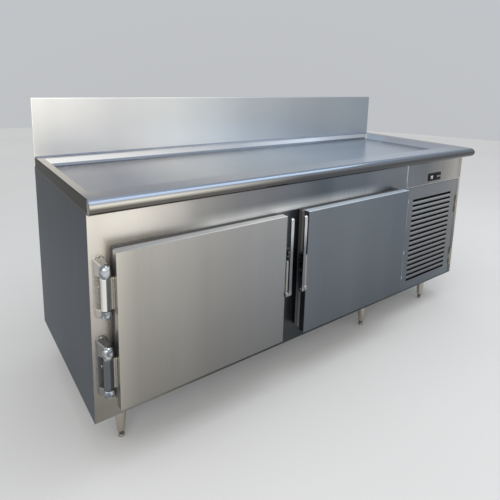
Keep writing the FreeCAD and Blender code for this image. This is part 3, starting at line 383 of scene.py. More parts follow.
def brushed(name, colour, grain, roughness=0.3, streak=0.05, edge=0.0, fall=None, extra=None, rim_tint=1.0):
    """Brushed sheet: fine scratches along the grain, broad soft streaks and faint smears.

    colour is a colour, or a function such as drift() that makes one for a look.
    fall, if given, is (from, to, stops): painted shade that darkens the sheet down z, as grey levels.
    extra, if given, takes the look and the colour so far, and gives a new colour.
    rim_tint is how much the sheet still gleams at a grazing angle.
    """
    look = Look(name, metallic=1.0, specular_tint=(rim_tint,) * 3)
    scratches = look.noise(1.0, [5.0 if axis == grain else 700.0 for axis in "xyz"], detail=1.0)
    streaks = look.noise(1.0, [0.4 if axis == grain else 5.0 for axis in "xyz"])
    smears = look.noise(2.6, detail=3.0, roughness=0.55)
    base = colour(look) if callable(colour) else colour
    if fall:
        start, end, levels = fall
        base = look.times(base, look.along("z").rise(start, end), levels)
    if extra:
        base = extra(look, base)
    look.shade("Base Color", look.times(base, (streaks - 0.3) * 2.5, [(0.0, 1 - streak), (1.0, 1 + streak)]))
    look.shade("Roughness", roughness + (scratches - 0.5) * 0.10 + (smears - 0.5) * 0.10)
    look.bump(scratches, 0.00002, 0.35, soft_edge=edge)
    return look.material


def polished(name, colour, roughness, metal=1.0):
    """Plated or polished metal with faint wear; colour as in brushed sheet."""
    look = Look(name, metallic=metal)
    look.shade("Base Color", colour(look) if callable(colour) else colour)
    wear = look.noise(60.0, detail=4.0)
    look.shade("Roughness", (roughness + (wear - 0.45) * 0.22).clamped())
    look.bump(look.noise(400.0), 0.00002, 0.4)
    return look.material


def moulded(name, colour, roughness, grain=900.0, depth=0.00004, gloss=0.5):
    """Moulded plastic or rubber: a fine eggshell texture and slight unevenness in colour."""
    look = Look(name, specular_ior_level=gloss)
    cloud = look.noise(14.0, detail=3.0)
    look.shade("Base Color", look.times(colour, cloud, [(0.3, 0.88), (0.7, 1.12)]))
    look.shade("Roughness", roughness + (cloud - 0.5) * 0.15)
    look.bump(look.noise(grain), depth, 0.5)
    return look.material


def galvanised(name, colour):
    """Zinc-coated sheet: flat crystals of slightly different brightness."""
    look = Look(name, metallic=0.85)
    crystal = look.add("ShaderNodeSeparateColor", values={0: look.cells(70.0).outputs["Color"]})
    spangle = Field(look, crystal.outputs[0])
    look.shade("Base Color", look.times(colour, spangle, [(0.0, 0.82), (1.0, 1.12)]))
    look.shade("Roughness", 0.36 + spangle * 0.2)
    look.bump(spangle, 0.00003, 0.4, soft_edge=SOFT_EDGE)
    return look.material


def foam_core(name, colour):
    """Rigid foam: small open cells with a sandy surface."""
    look = Look(name)
    cell = Field(look, look.cells(900.0).outputs["Distance"])
    look.shade("Base Color", look.times(colour, cell, [(0.0, 0.75), (0.6, 1.05)]))
    look.shade("Roughness", 0.85 + (cell - 0.3) * 0.2)
    look.bump(cell, 0.0004, 0.7)
    return look.material


def painted(name, colour, roughness=0.4, peel=350.0):
    """Powder coat or enamel: orange-peel texture under a thin gloss."""
    look = Look(name, coat_roughness=0.2, coat_weight=0.25)
    dust = look.noise(20.0, detail=4.0)
    look.shade("Base Color", look.times(colour, dust, [(0.25, 0.9), (0.75, 1.06)]))
    look.shade("Roughness", roughness + (dust - 0.5) * 0.2)
    look.bump(look.noise(peel), 0.00006, 0.5, soft_edge=SOFT_EDGE)
    return look.material


def copper_tube(name):
    """Drawn copper tube, browned unevenly."""
    look = Look(name, metallic=1.0)
    brown = look.noise(18.0, detail=4.0)
    look.shade("Base Color", look.ramp(brown, [(0.25, 0.30, 0.13, 0.07), (0.75, 0.80, 0.42, 0.27)]))
    look.shade("Roughness", 0.25 + brown * 0.25)
    return look.material


def display_glass(name):
    """Dark tinted window with a faint bloom."""
    look = Look(name, specular_ior_level=0.08)
    bloom = look.noise(90.0)
    look.shade("Base Color", look.ramp(bloom, [(0.3, 0.003, 0.003, 0.004), (0.8, 0.008, 0.008, 0.010)]))
    look.shade("Roughness", 0.12 + bloom * 0.06)
    return look.material


def lit_segment(name):
    """Glowing bars of the number display, slightly uneven."""
    look = Look(name, roughness=0.3, base_color=(0.8, 0.86, 0.9), emission_strength=0.2)
    glow = look.noise(300.0, detail=1.0)
    look.shade("Emission Color", look.ramp(glow, [(0.2, 0.75, 0.85, 0.92), (0.8, 0.95, 0.98, 1.0)]))
    return look.material


def painted_highlight_band(from_x, to_x, from_z, to_z, left, right):
    """A painted highlight: a pale, less metallic band just above the doors that fades in along x and down z.
    """
    def band(look, base):
        x, z = look.along("x"), look.along("z")
        mask = x.rise(from_x, from_x + 0.25) * x.rise(to_x, to_x - 0.20) * z.rise(to_z, from_z)
        mask = mask ** 1.8 * z.rise(from_z - 0.016, from_z - 0.010)
        look.shade("Metallic", 1.0 - mask * 0.8)
        return look.blend(mask, base, look.ramp(x.rise(from_x, to_x), [(0.0, *left), (1.0, *right)]))
    return band


def painted_fold_highlight(height, from_x, to_x, stops):
    """A painted highlight on the folded top edge of a door: paler and less metallic than its face, changing
    along x.
    """
    def fold(look, base):
        mask = look.along("z").rise(height - 0.0025, height - 0.0010)
        look.shade("Metallic", 1.0 - mask * 0.8)
        return look.blend(mask, base, look.ramp(look.along("x").rise(from_x, to_x), stops))
    return fold


def tray_painted_light(x1, x2, y1, y2, drop):
    """Painted light on the tray's leaning faces: a painted reflection on the back one, painted shade on the
    left one, and a dark line of painted shade along the foot of all four.
    """
    def slopes(look, base):
        x, y = look.along("x"), look.along("y")
        inward = (x - (x1 + drop)).least((x2 - drop) - x).least(y - (y1 + drop)).least((y2 - drop) - y)
        # Painted shade on the left rim and slope.
        edge = x.rise(x1 + drop + 0.001, x1 + drop) * y.rise(y1 - 0.06, y1 + 0.03)
        base = look.blend(edge, base, (0.31, 0.295, 0.275))
        # Painted reflection on the back slope, changing along x.
        back = look.ramp(x.rise(-1.0, 0.95), [
            (0.0, 0.36, 0.35, 0.34), (0.21, 0.29, 0.285, 0.28), (0.48, 0.20, 0.215, 0.23),
            (0.86, 0.38, 0.42, 0.47), (1.0, 0.36, 0.39, 0.42)])
        base = look.blend(y.rise(y2 - drop, y2 - drop + 0.001) * y.rise(y2 + 0.006, y2), base, back)
        # Painted shade in a dark line along the foot of every slope.
        line = inward.rise(-0.010, -0.0085) * inward.rise(0.002, 0.0005)
        return look.blend(line * 0.9, base, (0.075, 0.09, 0.115))
    return slopes


def louvre_shade(top, pitch):
    """Each bar has a painted highlight at its upper edge and painted shade towards the slot below."""
    return lambda look, base: look.times(base, ((top - look.along("z")) / pitch).fraction(), [
        (0.0, 1.0), (0.45, 0.75), (0.60, 1.0), (0.99, 0.42)])


def fin_rows(pitch):
    """Upright fins seen edge on: thin pale edges with painted shade in the gaps, one to each pitch along x.
    """
    return lambda look, base: look.times(base, (look.along("x") / pitch).fraction(), [
        (0.0, 0.35), (0.35, 0.35), (0.5, 1.0), (0.8, 1.0), (1.0, 0.35)])


# Radius, in metres, that the bare edges of a CAD piece seem to have.
SOFT_EDGE = 0.0008
# Where the worktop's sheet starts to sink: x from and to, y from and to.
TRAY = (-1.0005, 0.9245, -0.2685, 0.334)
TRAY_DROP = 28 * MM
# The grille's slots: the upper edge of the top one, and the step to the next.
SLOTS_TOP = 0.6428
SLOT_PITCH = 26.6 * MM
# The worktop's roll from its lowest to its highest point.
ROLL_LOW, ROLL_HIGH = 0.831, 0.878
DOOR_TOP = 0.724

# Painted light across a middle knuckle along x: a painted highlight on its left flat, painted shade on its
# right.
PAINTED_KNUCKLE_LIGHT = [(0.0, 0.62, 0.61, 0.58), (0.10, 0.88, 0.87, 0.83), (0.36, 0.90, 0.90, 0.87),
           (0.42, 0.17, 0.18, 0.20), (0.78, 0.20, 0.21, 0.22), (1.0, 0.42, 0.40, 0.36)]

LOOKS = {
    # Painted reflections across the face frame: cream at the left, dark blue in the middle, a pale strip at
    # the right edge; painted shade lower down and a painted highlight band above the doors.
    "frame": brushed(
        "stainless_frame", painted_drift("x", -1.03, 0.985, [
            (0.0, 0.96, 0.90, 0.80), (0.076, 0.98, 0.92, 0.82), (0.13, 0.70, 0.66, 0.60),
            (0.185, 0.44, 0.43, 0.41), (0.275, 0.27, 0.27, 0.28), (0.47, 0.125, 0.150, 0.178),
            (0.65, 0.185, 0.205, 0.235), (0.985, 0.235, 0.255, 0.285), (0.993, 0.62, 0.60, 0.55)]),
        "z", 0.30, 0.12, SOFT_EDGE,
        fall=(0.20, 0.80, [(0.0, 0.25), (0.30, 0.38), (0.45, 0.54), (0.85, 0.86), (1.0, 1.0)]),
        extra=painted_highlight_band(-0.86, 0.41, 0.732, 0.772, (0.90, 0.90, 0.89), (0.30, 0.345, 0.385))),
    # Painted reflection along the fascia: dark at the left, cream towards the right end.
    "fascia": brushed(
        "stainless_fascia", painted_drift("x", 0.49, 0.98, [
            (0.0, 0.20, 0.22, 0.245), (0.30, 0.19, 0.205, 0.22), (0.62, 0.31, 0.305, 0.295),
            (0.88, 0.50, 0.485, 0.45), (1.0, 0.40, 0.385, 0.355)]), "z", 0.28, edge=SOFT_EDGE),
    # A darker copy of the steel as painted shade on the side panels, a little darker towards the top.
    "side": brushed(
        "stainless_side", painted_drift("z", 0.2, 0.84, [(0.0, 0.165, 0.186, 0.212), (1.0, 0.120, 0.133, 0.150)]),
        "z", 0.36, edge=SOFT_EDGE, rim_tint=0.56),
    # Painted reflection along the deck: dark at the left end, pale sky blue past the middle, with painted
    # light on the slopes.
    "worktop": brushed(
        "stainless_worktop", painted_drift("x", -1.0, 0.95, [
            (0.0, 0.165, 0.180, 0.220), (0.10, 0.20, 0.22, 0.28), (0.25, 0.54, 0.545, 0.57),
            (0.54, 0.69, 0.77, 0.86), (0.85, 0.50, 0.59, 0.70), (1.0, 0.33, 0.35, 0.39)]),
        "x", 0.22, extra=tray_painted_light(*TRAY, TRAY_DROP)),
    # Painted light round the roll: painted shade underneath, a cream band and a bluish painted highlight on
    # top near the left end, only the bluish highlight further right.
    "roll": brushed(
        "stainless_roll", painted_roll_light([
            (0.0, 0.17, 0.158, 0.145), (0.30, 0.18, 0.168, 0.152), (0.43, 0.15, 0.14, 0.125),
            (0.50, 0.42, 0.39, 0.34), (0.60, 0.60, 0.57, 0.48), (0.68, 0.64, 0.62, 0.565),
            (0.745, 0.42, 0.415, 0.395), (0.80, 0.18, 0.20, 0.235), (0.88, 0.165, 0.20, 0.265),
            (0.95, 0.34, 0.40, 0.49), (1.0, 0.40, 0.46, 0.56)], [
            (0.0, 0.060, 0.060, 0.062), (0.40, 0.080, 0.080, 0.083), (0.50, 0.105, 0.105, 0.110),
            (0.62, 0.115, 0.118, 0.125), (0.70, 0.165, 0.170, 0.180), (0.78, 0.160, 0.172, 0.188),
            (0.86, 0.155, 0.195, 0.250), (0.93, 0.29, 0.36, 0.45), (1.0, 0.32, 0.39, 0.48)],
            -0.80, -0.25, ROLL_LOW, ROLL_HIGH), "x", 0.15, 0.04),
    # Darker copies of the steel, as painted shade on the roll's end, the side skirt and its hem.
    "end_cap": brushed("stainless_end_cap", (0.20, 0.19, 0.175), "z", 0.26),
    "skirt": brushed("stainless_skirt", (0.110, 0.106, 0.099), "y", rim_tint=0.50),
    "hem": brushed("stainless_hem", (0.19, 0.18, 0.165), "y", rim_tint=0.6),
    # Painted reflection along the backsplash: cream at the left end, blue-grey towards the right.
    "splash": brushed(
        "stainless_splash", painted_drift("x", -1.0, 1.0, [
            (0.0, 0.97, 0.95, 0.89), (0.15, 0.72, 0.71, 0.69), (0.30, 0.72, 0.72, 0.695),
            (0.50, 0.50, 0.525, 0.535), (0.72, 0.40, 0.43, 0.46), (1.0, 0.34, 0.385, 0.425)]),
        "z", 0.32, 0.03),
    # Painted reflection across the left door: cream at the hinge side to grey, painted shade lower down and a
    # painted highlight on the top fold.
    "left_door": brushed(
        "stainless_left_door", painted_drift("x", -0.97, -0.33, [
            (0.0, 0.74, 0.705, 0.63), (0.10, 0.53, 0.505, 0.46), (0.4, 0.455, 0.44, 0.415),
            (0.75, 0.385, 0.385, 0.38), (1.0, 0.375, 0.385, 0.395)]), "z", 0.30, 0.07,
        fall=(0.20, 0.72, [(0.0, 0.52), (0.35, 0.64), (0.8, 0.86), (1.0, 1.0)]),
        extra=painted_fold_highlight(DOOR_TOP, -0.9655, -0.3285, [
            (0.0, 0.19, 0.21, 0.225), (0.22, 0.28, 0.30, 0.32), (0.6, 0.48, 0.485, 0.48),
            (1.0, 0.62, 0.62, 0.61)])),
    # Painted reflection across the right door, a little darker to the right, with painted shade lower down
    # and a bluish painted highlight on the top fold.
    "right_door": brushed(
        "stainless_right_door", painted_drift("x", -0.22, 0.42, [
            (0.0, 0.200, 0.224, 0.25), (0.5, 0.180, 0.205, 0.230), (1.0, 0.155, 0.180, 0.210)]), "z",
        fall=(0.20, 0.72, [(0.0, 0.62), (0.5, 0.82), (1.0, 1.0)]),
        extra=painted_fold_highlight(DOOR_TOP, -0.2205, 0.4165, [(0.0, 0.50, 0.57, 0.64), (1.0, 0.44, 0.51, 0.58)])),
    # Painted reflection along the grille, paler to the right, with bluish painted shade lower down.
    "grille": brushed(
        "stainless_grille", painted_drift("x", 0.50, 0.95, [
            (0.0, 0.20, 0.22, 0.245), (0.6, 0.23, 0.24, 0.255), (1.0, 0.31, 0.315, 0.315)]), "z", 0.32,
        fall=(0.16, 0.70, [(0.0, 0.52, 0.59, 0.64), (0.5, 0.70), (1.0, 1.0)])),
    # Painted reflection along the louvres, paler to the right, with painted shade lower down and on each bar
    # towards its slot.
    "louvre": brushed(
        "stainless_louvre", painted_drift("x", 0.50, 0.95, [
            (0.0, 0.42, 0.45, 0.49), (0.6, 0.46, 0.47, 0.49), (1.0, 0.55, 0.55, 0.54)]), "z", 0.32,
        fall=(0.16, 0.70, [(0.0, 0.46), (0.5, 0.70), (1.0, 1.0)]),
        extra=louvre_shade(SLOTS_TOP, SLOT_PITCH)),
    # A near-black mat behind the slots that stands in for the shade inside the grille.
    "slot_shade": moulded("slot_shade_black", (0.004, 0.004, 0.005), 0.9, 300.0, 0.0006, gloss=0.1),
    "liner": brushed("stainless_liner", (0.66, 0.67, 0.68), "x", 0.32, edge=0.001),
    "weld": brushed("polished_weld", (0.72, 0.71, 0.68), "z", 0.22),
    # Soft patches of painted reflection on the hinge crowns and cups: pale, bluish and dark.
    "crown": polished("hinge_crown_plate", reflection_patches(55.0, [
        (0.30, 0.60, 0.62, 0.64), (0.44, 0.34, 0.39, 0.45), (0.52, 0.14, 0.155, 0.175),
        (0.60, 0.30, 0.32, 0.34), (0.72, 0.62, 0.61, 0.58)]), 0.10),
    "upper_leaf": polished("hinge_leaf_plate", (0.40, 0.385, 0.355), 0.24, metal=0.55),
    # Darker copies for the lower hinges: painted shade on their leaves and middle knuckles.
    "lower_leaf": polished("lower_hinge_leaf_shaded", (0.17, 0.17, 0.17), 0.24, metal=0.55),
    "lower_knuckle": polished("lower_knuckle_shaded", (0.135, 0.145, 0.160), 0.12),
    # A painted highlight and painted shade across the upper middle knuckles.
    "left_knuckle": polished("left_knuckle_plate", painted_drift("x", -1.002, -0.975, PAINTED_KNUCKLE_LIGHT), 0.10),
    "right_knuckle": polished("right_knuckle_plate", painted_drift("x", 0.426, 0.453, PAINTED_KNUCKLE_LIGHT), 0.10),
    "satin": polished("satin_plate", (0.42, 0.40, 0.365), 0.24),
    # Painted light down the latch levers and cases: paler at the foot, painted shade along the middle and a
    # painted highlight at the top.
    "lever": polished("latch_plate", painted_drift("z", 0.40, 0.66, [
        (0.0, 0.34, 0.34, 0.34), (0.12, 0.16, 0.17, 0.19), (0.7, 0.20, 0.22, 0.25),
        (0.94, 0.55, 0.56, 0.60), (1.0, 0.62, 0.62, 0.62)]), 0.12),
    "keeper": polished("keeper_plate", (0.36, 0.34, 0.30), 0.24),
    "pin": polished("hinge_pin_steel", (0.72, 0.72, 0.73), 0.14),
    "zinc": galvanised("galvanised_sheet", (0.60, 0.62, 0.64)),
    "foam": foam_core("rigid_foam", (0.86, 0.80, 0.62)),
    "abs": moulded("moulded_liner", (0.50, 0.51, 0.51), 0.4),
    "door_abs": moulded("door_liner_grey", (0.17, 0.168, 0.172), 0.35),
    "gasket": moulded("gasket_rubber", (0.055, 0.055, 0.06), 0.5, 500.0),
    "black": moulded("black_plastic", (0.006, 0.006, 0.007), 0.5, gloss=0.2),
    "key": moulded("key_plastic", (0.22, 0.23, 0.25), 0.4),
    "mark": moulded("key_mark", (0.75, 0.76, 0.76), 0.4),
    "window": display_glass("display_window"),
    "digit": lit_segment("display_segment"),
    "wire": painted("coated_wire", (0.78, 0.79, 0.78), 0.35, 800.0),
    "white": painted("white_housing", (0.80, 0.81, 0.81)),
    "fins": brushed("fin_aluminium", (0.70, 0.71, 0.72), "z", 0.35, extra=fin_rows(4 * MM)),
    "dark_fins": brushed("painted_fins", (0.10, 0.10, 0.105), "z", 0.5, extra=fin_rows(5 * MM)),
    "enamel": painted("black_enamel", (0.02, 0.02, 0.022), 0.3),
    "mount": moulded("rubber_mount", (0.03, 0.03, 0.03), 0.7),
    "copper": copper_tube("copper_tube"),
    "leg": polished("leg_steel", (0.50, 0.46, 0.40), 0.2),
    "foot": polished("foot_steel", (0.30, 0.28, 0.25), 0.25),
    "board": moulded("underlay_board", (0.55, 0.42, 0.27), 0.8, 200.0),
    # The cove bead's dark blue is a painted reflection along the foot of the backsplash.
    "cove_reflection_bead": moulded("cove_reflection_bead", (0.16, 0.19, 0.25), 0.35),
}

for look, nodes in (
        ("side", ["side_panels"]), ("frame", ["face_frame"]), ("fascia", ["control_fascia"]),
        ("keeper", ["grille_frame_hinges", "grille_door_hinges"]),
        ("liner", ["interior_liner", "shelf_supports"]),
        ("zinc", ["back_panel", "bottom_panel", "bay_wall", "fan_shroud", "electrical_box"]),
        ("foam", ["cabinet_foam"]), ("abs", ["breaker_strips"]), ("board", ["worktop_underlay"]),
        ("pin", ["door_hinge_pins"]), ("copper", ["refrigerant_lines"]),
        ("black", ["power_inlet", "evaporator_motor"]), ("enamel", ["condenser_motor", "compressor"]),
        ("mount", ["compressor_mounts"]), ("wire", ["wire_shelves"]), ("white", ["evaporator_housing"]),
        ("fins", ["evaporator_coil"]), ("dark_fins", ["condenser_coil"])):
    dress(look, nodes)


# ================================================================ doors


# The way from a door's hinges along x.
INWARD = {"left": 1, "right": -1}


def door(side):
    """Outer pan with folded edges, dished liner, and a bellows gasket on its inner face."""
    low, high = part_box(side + "_door_pan")
    body = side + "_door"
    rect = (low.x, high.x, low.z, high.z, 0.003)
    fold = 0.0022
    turn = quarter(5)
    rings = [shrunk(rect, 0.016, high.y), shrunk(rect, 0.0012, high.y), shrunk(rect, 0, high.y - 0.0012)]
    rings += [shrunk(rect, fold * (1 - math.cos(a)), low.y + fold * (1 - math.sin(a))) for a in turn]
    piece(side + "_door_skin", stack(rings, "xzy"), body, body, [side + "_door_pan"])

    low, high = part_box(side + "_door_liner")
    rect = (low.x, high.x, low.z, high.z, 0.006)
    dish = 0.0075
    steps = [(0, low.y), (0, high.y - 0.004), (0.0012, high.y - 0.0012), (0.004, high.y),
             (0.036, high.y), (0.039, high.y - 0.0015), (0.046, high.y - dish + 0.0015),
             (0.050, high.y - dish)]
    rings = [(rect[0] + inset, rect[1] - inset, rect[2] + inset, rect[3] - inset,
              0.006 if inset < 0.03 else 0.03, w) for inset, w in steps]
    panel = stack(rings, "xzy", steps=8)
    ribs = []
    for share in (0.25, 0.5, 0.75):
        z = low.z + (high.z - low.z) * share
        ribs.append(block((low.x + 0.07, high.y - dish - 0.002, z - 0.006),
                          (high.x - 0.07, high.y - dish + 0.003, z + 0.006), 0.003, 0.006,
                          round_low=False))
    piece(side + "_door_inner", join(panel, *ribs), "door_abs", body, [side + "_door_liner"])
    core_low, core_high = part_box(side + "_door_foam")
    core = block(core_low, (core_high.x, low.y - 0.4 * MM, core_high.z), 1 * MM, 4 * MM)
    piece(side + "_door_core", core, "foam", body, [side + "_door_foam"])

    low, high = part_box(side + "_door_gasket")
    depth = high.y - low.y
    section = [(0.001, 0.0), (0.015, 0.0), (0.0165, 0.12), (0.0135, 0.25), (0.0165, 0.38), (0.0135, 0.5),
               (0.0170, 0.62), (0.0180, 0.78), (0.0175, 0.94), (0.0160, 1.0), (0.0020, 1.0), (0.0005, 0.93),
               (0.0, 0.78), (0.0015, 0.62), (0.0045, 0.5), (0.0015, 0.38), (0.0045, 0.25), (0.0015, 0.12)]
    rings = [(low.x + inset, high.x - inset, low.z + inset, high.z - inset, 0.0005, low.y + share * depth)
             for inset, share in section]
    piece(side + "_door_seal", stack(rings, "xzy", closed=True, steps=1), "gasket", body,
          [side + "_door_gasket"], crease=50)


# ================================================================ door hinges


def frame_leaf(low, high, barrel_x, barrel_y, barrel_radius, knuckles):
    """Pill-shaped plate with a rolled rim, the two outer knuckles and the arms that carry them."""
    half = (high.x - low.x) / 2
    plate_front = high.y - 4 * MM
    rect = (low.x, high.x, low.z, high.z, half)
    bevel = 3.2 * MM
    turn = quarter(5)
    rings = [shrunk(rect, 0, high.y)]
    rings += [shrunk(rect, bevel * (1 - math.cos(a)), plate_front + bevel * (1 - math.sin(a)))
              for a in turn]
    parts = [stack(rings, "xzy", steps=12)]
    middle = (low.x + high.x) / 2
    for bottom, top, cap in knuckles:
        rows = []
        for share in np.linspace(0, 1, 9):
            y = barrel_y + (plate_front + 0.5 * MM - barrel_y) * share
            ease = share * share * (3 - 2 * share)
            x = barrel_x + (middle - barrel_x) * ease
            spread = barrel_radius * (0.80 + 0.22 * ease)
            rise = 15 * MM * share if cap == "top" else -4 * MM * share
            z1, z2 = (bottom, top - 3 * MM + rise) if cap == "top" else (bottom + 3 * MM + rise, top)
            u, v = outline(x - spread, x + spread, z1, z2, 5 * MM, 5)
            rows.append(order(u, v, np.full_like(u, y), "xzy"))
        parts.append(solid(rows))
    return join(*parts)


def knuckle_cap(x, y, bottom, top, radius, cap):
    """One outer knuckle: a faceted crown above, or a rounded cup below, with a neck ring."""
    if cap == "top":
        wide = radius + 1.6 * MM
        profile = [(bottom, 0), (bottom, radius - 1.0 * MM), (bottom + 3 * MM, radius - 0.4 * MM),
                   (bottom + 7 * MM, wide), (top - 16 * MM, wide), (top - 9 * MM, wide * 0.93),
                   (top - 4 * MM, wide * 0.74), (top - 1 * MM, wide * 0.46), (top, wide * 0.2), (top, 0)]
        return turned(profile, (x, y, 0), "z", 12)
    turn = quarter(6)
    bowl = [(bottom + 8 * MM * (1 - math.sin(a)), radius * (0.5 + 0.5 * math.cos(a))) for a in turn[::-1]]
    profile = [(bottom, 0)] + bowl + [(top - 3.5 * MM, radius), (top - 2 * MM, radius - 1.5 * MM),
                                      (top, radius - 1.5 * MM), (top, 0)]
    return turned(profile, (x, y, 0), "z", 40)


def door_knuckle(low_z, high_z, barrel_x, barrel_y, radius):
    """Middle knuckle, ground to two flats that meet at a front edge."""
    flat, count = radius * 0.87, 60
    angle = np.linspace(0, 2 * math.pi, count, endpoint=False) + math.radians(8)
    reach = np.full(count, radius)
    for facing in (-130, -72):
        lean = np.cos(angle - math.radians(facing))
        reach = np.where(lean > 0.3, np.minimum(reach, flat / np.maximum(lean, 0.3)), reach)
    rows = []
    for z, share in ((low_z, 0.90), (low_z + 1.5 * MM, 1.0), (high_z - 1.5 * MM, 1.0), (high_z, 0.90)):
        rows.append(np.stack([barrel_x + reach * share * np.cos(angle),
                              barrel_y + reach * share * np.sin(angle), np.full(count, z)], -1))
    return solid(rows)


def door_strap(side, door_edge, low_z, high_z, barrel_x, barrel_y, radius):
    """Strap from the middle knuckle to the door's edge, and the leaf on that edge."""
    inward = INWARD[side]
    ends = sorted((barrel_x + inward * radius * 0.4, door_edge - inward * 1 * MM))
    strap = block((ends[0], barrel_y - 8 * MM, low_z + 0.8 * MM),
                  (ends[1], barrel_y + 4 * MM, high_z - 0.8 * MM),
                  2.0 * MM, axis="x", round_low=False, round_high=False)
    leaf_x = sorted((door_edge, door_edge - inward * 4 * MM))
    leaf = block((leaf_x[0], barrel_y - 12 * MM, low_z), (leaf_x[1], barrel_y + 16 * MM, high_z),
                 1.4 * MM, 5 * MM, axis="x")
    return join(strap, leaf)


def screw_head(centre, radius):
    """Pan head: a low dome with a recessed middle."""
    turn = quarter(5)
    rim = [(-2 * MM * math.sin(a), radius * (0.4 + 0.6 * math.cos(a))) for a in turn]
    recess = [(-2 * MM, radius * 0.36), (-1.2 * MM, radius * 0.28), (-1.2 * MM, 0)]
    return turned([(0, 0), (0, radius)] + rim + recess, centre, "y", 20)


def hinges():
    """The four door hinges, from the boxes of their CAD leaves and pins."""
    low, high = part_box("frame_hinge_leaves")
    pin_low, pin_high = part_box("door_hinge_pins")
    radius, pin_radius, plate_width, plate_tall, tall = 15.5 * MM, 4 * MM, 36 * MM, 202 * MM, 170 * MM
    # In millimetres: the lower cup, the upper crown, and the gap from each to the middle knuckle.
    cup, crown, gap = 27, 40, 0.5
    barrel_y = (pin_low.y + pin_high.y) / 2
    for side in ("left", "right"):
        body = side + "_door"
        leaf_low, leaf_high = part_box(side + "_door_hinge_leaves")
        barrel_x = pin_low.x + pin_radius if side == "left" else pin_high.x - pin_radius
        door_edge = leaf_high.x if side == "left" else leaf_low.x
        plate_x = (low.x, low.x + plate_width) if side == "left" else (high.x - plate_width, high.x)
        for level, base, plate_low in (("upper", pin_high.z - tall, high.z - plate_tall),
                                       ("lower", pin_low.z, low.z)):
            crest = base + tall
            a = Vector((plate_x[0], high.y - 4 * MM, plate_low))
            b = Vector((plate_x[1], high.y, plate_low + plate_tall))
            name = "%s_%s_hinge" % (side, level)
            knuckles = ((base, base + cup * MM, "bottom"), (crest - crown * MM, crest, "top"))
            knuckle_look = (side if level == "upper" else level) + "_knuckle"
            leaf = frame_leaf(a, b, barrel_x, barrel_y, radius, knuckles)
            piece(name + "_frame_leaf", leaf, level + "_leaf", "cabinet",
                  ["frame_hinge_leaves"], crease=28)
            caps = [knuckle_cap(barrel_x, barrel_y, z1, z2, radius, cap) for z1, z2, cap in knuckles]
            piece(name + "_crown", join(*caps), "crown", "cabinet",
                  ["frame_hinge_leaves"], crease=28)
            low_z, high_z = base + (cup + gap) * MM, crest - (crown + gap) * MM
            piece(name + "_knuckle", door_knuckle(low_z, high_z, barrel_x, barrel_y, radius),
                  knuckle_look, body, [side + "_door_hinge_leaves"], crease=12)
            piece(name + "_strap", door_strap(side, door_edge, low_z, high_z, barrel_x, barrel_y, radius),
                  "satin", body, [side + "_door_hinge_leaves"])
            middle = plate_low + plate_tall / 2
            reach = plate_tall / 2 - 5.5 * MM
            heads = [screw_head(((a.x + b.x) / 2, a.y, middle + shift), 4.5 * MM)
                     for shift in (-reach, 0, reach)]
            piece(name + "_screws", join(*heads), "satin", "cabinet", ["hinge_screws"])


# ================================================================ latches


